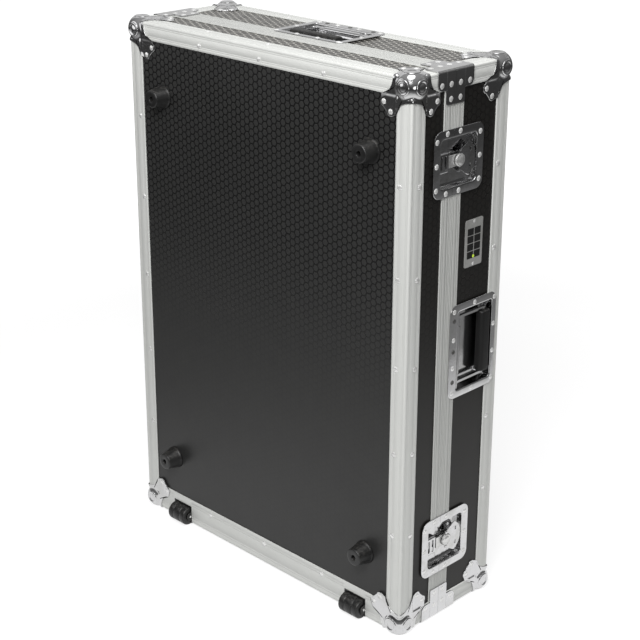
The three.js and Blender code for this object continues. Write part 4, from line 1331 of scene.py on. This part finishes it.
def armPart(side):
    start, end, rod = handleShape["pivot"], handleShape["grip"], handleShape["rod"]
    waist = rod * handleShape["armWaist"]
    low, high = start + handleShape["armTapers"][0], end - handleShape["armTapers"][1]
    outline = arcPoints(end, 0, rod, -60, 60, 8) + [(high, waist), (low, waist)]
    outline += arcPoints(start, 0, rod, 60, 300, 12) + [(low, -waist), (high, -waist)]
    half = handleShape["armHalf"]
    bar = plate([softened(outline, handleShape["armRounding"], 2)], -half, half)
    return shifted(turned(bar, "X", -90), 0, side * handleShape["armAt"], -handleShape["drop"])


def gripPart():
    size = gripShape
    rings = []
    for at, shrink in [(-at, shrink) for at, shrink in reversed(gripEnds)] + list(gripEnds):
        w, t = size["halfWidth"] - shrink, size["halfThickness"] - shrink
        outline = roundedRect(-w, -t, w, t, min(size["rounding"], t - 0.2), 7)
        rings.append([(x, y - size["raised"], at * size["half"]) for x, y in outline])
    angles = [math.atan2(y, x) for x, y, _ in rings[0]]
    for end in (1, -1):
        bore = size["bore"]
        rings.append([(bore * math.cos(a), bore * math.sin(a), end * size["half"]) for a in angles])
    sleeve = loft(rings, closed=True)
    return shifted(turned(sleeve, "X", -90), handleShape["grip"], 0, -handleShape["drop"])


handleDishPart = pressedDish(handleShape)


def handleBar(radius, half, at, steps=24, rounding=0.4):
    return shifted(roundBar(radius, -half, half, steps, rounding), at, 0, -handleShape["drop"])


rod, pivot = handleShape["rod"], handleShape["pivot"]
bailParts = [
    handleBar(rod, handleShape["rodEnd"], pivot),
    handleBar(rod, handleShape["gripRodEnd"], handleShape["grip"]),
    armPart(1),
    armPart(-1),
]
grip = gripPart()
cover, coverHalf, coverAt = handleShape["cover"], handleShape["coverHalf"], pivot - handleShape["coverBack"]
hingeCover = handleBar(cover, coverHalf, coverAt, 28, handleShape["coverRounding"])
screwHead = [(0, 0.15), (1.0, 0.15), (1.3, 0.5), (2.6, 0.75), (3.5, 0.6), (3.9, 0.1), (3.9, -0.3), (0, -0.3)]
screwPart = lathe(screwHead, 20)
handleRivets = [(-51.0, v) for v in (69.0, 22.0, -26.0, -69.0)]
handleRivets += [(47.0, v) for v in (70.0, 24.0, -23.0, -70.0)]
handleRivets += [(-2.0, 73.3), (-2.0, -73.3)]
handleScrews = [(-51.0, v) for v in (54.0, 2.0, -50.0)]
for name, matrix in (
    ("side_handle", rightFace(handle["sideY"], handle["sideZ"])),
    ("top_handle", topFace(width / 2, handle["topY"])),
):
    screws = [shifted(screwPart, u, v, handleShape["rivetLevel"]) for u, v in handleScrews]
    dish, bail = name + "_dish", name + "_bail"
    for kind, parts, body, slotName, finish, nodes, bevel in (
        ("_pressed_dish", [handleDishPart, hingeCover], "lid", "fitting_steel", chrome, [dish], 0.0),
        ("_sprung_bail", bailParts, bail, "fitting_steel", chrome, [bail], 0.5),
        ("_moulded_grip", [grip], bail, "rubber", gripRubber, [name + "_grip"], 0.0),
        ("_screws", screws, "lid", "fitting_steel", screwSteel, [], 0.0),
    ):
        makePiece(name + kind, placed(parts, matrix), body, finish, nodes, bevel)
    for u, v in handleRivets:
        addRivet("lid", matrix, (u, v, handleShape["rivetLevel"]), *handleShape["rivet"])
print("handles done")

# Foam trays in both halves, cut out for the wheels' housings and the handles' dishes.
foamShape = {"wall": 10.0, "corner": 5.0, "outerCorner": 1.5, "handleDepth": 17.5}
past = 5.0  # how far a cutter reaches past what it cuts
sliver = 0.1  # and past the foam's inner face, where it takes the whole wall away


def slabOf(x0, z0, x1, z1, y0, y1, radius):
    return loft([[(x, y, z) for x, z in roundedRect(x0, z0, x1, z1, radius, 5)] for y in (y0, y1)])


for half in ("base", "lid"):
    low, high = ((end - caseLow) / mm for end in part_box(half + "_lining"))
    wall = foamShape["wall"]
    outer = slabOf(low.x, low.z, high.x, high.z, low.y, high.y, foamShape["outerCorner"])
    openLow, openHigh = (low.y + wall, high.y + past) if half == "base" else (low.y - past, high.y - wall)
    inside = (low.x + wall, low.z + wall, high.x - wall, high.z - wall)
    cutters = [slabOf(*inside, openLow, openHigh, foamShape["corner"])]
    if half == "base":
        for x in (wheel["fromSide"], width - wheel["fromSide"]):
            start, end = x - wheel["cut"], x + wheel["cut"]
            cutters.append(block((start, -past, -past), (end, wheel["cutDepth"], wheel["cutHeight"])))
    else:
        # Each handle: a box for its dish, and one that takes the foam's wall away over the same length.
        across, along, deep = handle["cutAcross"], handle["cutAlong"], foamShape["handleDepth"]
        x0, x1 = width / 2 - along, width / 2 + along
        z0, z1 = handle["sideZ"] - along, handle["sideZ"] + along
        outX, outZ, endY, y = width + past, height + past, high.y - wall, handle["sideY"]
        cutters.append(block((width - deep, y - across, z0), (outX, y + across, z1)))
        cutters.append(block((high.x - wall - sliver, -past, z0), (outX, endY, z1)))
        y = handle["topY"]
        cutters.append(block((x0, y - across, height - deep), (x1, y + across, outZ)))
        cutters.append(block((x0, -past, high.z - wall - sliver), (x1, endY, outZ)))
    tray = carved(outer, cutters)
    toCase = Matrix.Translation(caseLow) @ Matrix.Scale(mm, 4)
    parts = placed([tray], toCase)
    piece = makePiece(half + "_foam_tray", parts, half, foam, [half + "_lining"], 1.2)
print("foam trays done")

# Rivets along the extrusions.
rows = {
    "inset": 21.0,
    "wideLeg": 38.0,
    "upPitch": 145.0,
    "acrossPitch": 142.0,
    "lidRight": (195.0, 327.0, 619.0, 756.0),
}
inset = rows["inset"]
uprights = [handle["sideZ"] + k * rows["upPitch"] for k in (-2, -1, 0, 1, 2)]
for x in (inset, width - inset):
    for z in uprights:
        addRivet("base", frontFace(x, z))
        addRivet("lid", backFace(width - x, z))
for faceOf, lidUprights in ((rightFace, rows["lidRight"]), (leftFace, uprights)):
    for z in uprights:
        addRivet("base", faceOf(inset, z))
    for z in lidUprights:
        addRivet("lid", faceOf(depth - inset, z))
for k in (-1, 0, 1):
    x = width / 2 + k * rows["acrossPitch"]
    addRivet("base", frontFace(x, height - inset))
    addRivet("base", frontFace(x, rows["wideLeg"]))
    addRivet("lid", backFace(width - x, height - inset))
    addRivet("lid", backFace(width - x, inset))
    for faceOf in (topFace, bottomFace):
        addRivet("base", faceOf(x, inset))
        if faceOf is bottomFace or k:  # the top handle takes the middle one's place
            addRivet("lid", faceOf(x, depth - inset))

# The riveted plate on the lid's right side, with plain fields and a dot.
blank = {
    "y": 152.8,
    "z": 639.0,
    "half": (21.0, 38.5),
    "corner": 3.0,
    "back": -2.1,
    "face": -0.9,
    "fieldFace": -0.7,
    "fieldHalf": 5.6,
    "fieldPitch": 12.6,
    "firstField": 18.6,
    "fieldSpan": (1.0, 15.5),
    "fieldCorner": 0.6,
    "dot": 2.6,
    "dotAt": (-0.5, -22.0),
    "dotRise": 0.1,
    "rivetAt": 34.5,
    "rivet": (2.6, 0.9),
}
plateMatrix = rightFace(blank["y"], blank["z"])
u, v = blank["half"]
blankPart = plate([roundedRect(-u, -v, u, v, blank["corner"])], blank["back"], blank["face"])
makePiece("riveted_plate", placed([blankPart], plateMatrix), "lid", satinSteel, bevel=0.3)
fields = []
for column in (-1, 1):
    for row in range(4):
        middle = blank["firstField"] - row * blank["fieldPitch"]
        low, high = middle - blank["fieldHalf"], middle + blank["fieldHalf"]
        x0, x1 = sorted(column * x for x in blank["fieldSpan"])
        outline = roundedRect(x0, low, x1, high, blank["fieldCorner"], 2)
        fields.append(plate([outline], blank["face"], blank["fieldFace"]))
makePiece("plate_fields", placed(fields, plateMatrix), "lid", gripRubber)
dotMatrix = plateMatrix @ Matrix.Translation((*blank["dotAt"], blank["fieldFace"]))
dot = lathe([(0, 0), (blank["dot"], 0), (blank["dot"], blank["dotRise"]), (0, blank["dotRise"])], 24)
makePiece("plate_dot", placed([dot], dotMatrix), "lid", signalPaint)
for v in (-blank["rivetAt"], blank["rivetAt"]):
    addRivet("lid", plateMatrix, (0, v, blank["face"]), *blank["rivet"])
for half in ("base", "lid"):
    makePiece(half + "_rivets", rivets[half], half, rivetSteel, sharp=50)
print("rivets done")

# Stage: floor, the room that reflections see, lamps, world and camera.
stage = {
    "floorHalf": 30.0,
    "floorGlow": 0.74,
    "glowCentre": (0.15, 0.15, 0.0),
    "glowNear": 1.3,
    "glowFar": 2.4,
    "mirrorNear": 0.5,
    "mirrorLeft": 0.1,
    "floorColour": 0.3,
    "roomRadius": 1.3,
    "roomHeight": 1.9,
    "roomLow": 0.055,
    "roomHigh": 0.42,
    "roomSpan": (0.35, 0.95),
    "roomFoot": 0.25,
    "roomFootTop": 0.3,
    "softboxCore": 0.7,
    "worldLight": 0.3,
    "lampAim": 0.45,
}
# Bright patches of the reflected room: bearing from the front toward the right, height, reach and strength.
softboxes = (
    (52.0, 68.0, 0.16, 3.0),
    (68.0, 26.0, 0.1, 2.2),
    (-136.0, 45.0, 0.36, 0.5),
    (-40.0, 34.0, 0.2, 1.3),
)
# Lamps: where each stands, its power and its size.
lamps = {
    "key": ((1.15, -1.75, 2.3), 88.0, 1.1),
    "side": ((2.7, -0.6, 1.7), 1.5, 1.2),
    "top": ((0.2, -0.2, 3.0), 17.0, 1.4),
    "back": ((0.9, 2.4, 1.9), 25.0, 1.2),
}
view = {
    "eye": (1.69627, -1.67439, 1.39291),
    "ahead": (-0.28012, 0.31921, 0.33486),
    "roll": 0.18,
    "lens": 84.41,
    "shift": -0.05,
}


def stageMaterial(name):
    material = bpy.data.materials.new(name)
    material.use_nodes = True
    material.node_tree.nodes.clear()
    return material, material.node_tree, material.node_tree.nodes.new("ShaderNodeOutputMaterial").inputs[0]


def floorFinish():
    material, tree, surface = stageMaterial("whiteFloor")
    diffuse = put(tree, "BsdfDiffuse", {"Color": (*[stage["floorColour"]] * 3, 1)})
    path = put(tree, "LightPath").outputs
    place = put(tree, "TexCoord").outputs["Object"]
    away = vectors(tree, "DISTANCE", place, stage["glowCentre"])
    near, far = stage["glowNear"], stage["glowFar"]
    mirrored = ranged(
        tree, away, stage["mirrorNear"], near, stage["floorGlow"], stage["mirrorLeft"], smooth=True
    )
    shown = ranged(tree, away, near, far, stage["floorGlow"], 1.0, smooth=True)
    fromGlossy = maths(tree, "MULTIPLY", path["Is Glossy Ray"], mirrored)
    strength = maths(tree, "MULTIPLY_ADD", path["Is Camera Ray"], shown, fromGlossy)
    glow = put(tree, "Emission", {"Strength": strength})
    both = put(tree, "AddShader", {0: diffuse.outputs[0], 1: glow.outputs[0]})
    tree.links.new(both.outputs[0], surface)
    return material


def roomFinish():
    # Dark at the horizon and brighter overhead.
    material, tree, surface = stageMaterial("reflectedRoom")
    place = put(tree, "TexCoord").outputs["Generated"]
    level = put(tree, "SeparateXYZ", {0: place}).outputs[2]
    upper = ranged(tree, level, *stage["roomSpan"], stage["roomLow"], stage["roomHigh"], smooth=True)
    lower = ranged(tree, level, 0.0, stage["roomFootTop"], stage["roomFoot"], 0.0)
    bright = maths(tree, "ADD", upper, lower)
    for bearing, rise, reach, power in softboxes:
        flat = math.cos(math.radians(rise)) / 2
        x = 0.5 + flat * math.sin(math.radians(bearing))
        y = 0.5 - flat * math.cos(math.radians(bearing))
        spot = put(tree, "CombineXYZ", {0: x, 1: y, 2: math.sin(math.radians(rise))}).outputs[0]
        away = vectors(tree, "DISTANCE", place, spot)
        core = reach * stage["softboxCore"]
        bright = maths(tree, "ADD", bright, ranged(tree, away, reach, core, 0.0, power, smooth=True))
    tree.links.new(put(tree, "Emission", {"Strength": bright}).outputs[0], surface)
    return material


def stagePiece(name, part, finish):
    mesh = bpy.data.meshes.new(name)
    mesh.from_pydata(part["points"], [], part["polygons"])
    mesh.materials.append(finish)
    piece = inScene(name, mesh)
    return piece


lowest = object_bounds()[0].z
half = stage["floorHalf"]
floorCorners = ((-half, -half), (half, -half), (half, half), (-half, half))
floorPart = makePart([(x, y, lowest) for x, y in floorCorners], [[0, 1, 2, 3]])
stagePiece("floor", floorPart, floorFinish())
domeArc = [(x * stage["roomRadius"], z * stage["roomHeight"]) for x, z in arcPoints(0, 0, 1, 0, 90, 16)[:-1]]
domeProfile = domeArc + [(0, stage["roomHeight"])]
room = stagePiece("reflectedRoom", shifted(lathe(domeProfile, 48), 0, 0, lowest), roomFinish())
for ray in ("camera", "diffuse", "transmission", "shadow", "volume_scatter"):
    setattr(room, "visible_" + ray, False)

for name, (place, power, size) in lamps.items():
    light = bpy.data.lights.new(name, "AREA")
    light.energy = power
    light.size = size
    lamp = inScene(name, light)
    lamp.location = place
    aimed = Vector((0, 0, height * mm * stage["lampAim"])) - Vector(place)
    lamp.rotation_euler = aimed.to_track_quat("-Z", "Y").to_euler()

world = bpy.data.worlds.new("whiteRoom")
bpy.context.scene.world = world
world.use_nodes = True
tree = world.node_tree
background = tree.nodes["Background"]
background.inputs["Color"].default_value = (1, 1, 1, 1)
path = put(tree, "LightPath").outputs
seen = maths(tree, "ADD", path["Is Camera Ray"], path["Is Glossy Ray"])
seen = maths(tree, "MINIMUM", maths(tree, "ADD", seen, path["Is Transmission Ray"]), 1.0)
feed(tree, background.inputs, {"Strength": ranged(tree, seen, 0.0, 1.0, stage["worldLight"], 1.0)})

lens = bpy.data.cameras.new("photographer")
lens.lens = view["lens"]
lens.shift_y = view["shift"]
camera = inScene("photographer", lens)
camera.location = view["eye"]
toward = (Vector(view["ahead"]) - Vector(view["eye"])).to_track_quat("-Z", "Y")
camera.rotation_euler = (toward.to_matrix() @ Matrix.Rotation(math.radians(view["roll"]), 3, "Z")).to_euler()

bpy.context.scene.camera = camera
bpy.context.scene.view_settings.view_transform = "Standard"
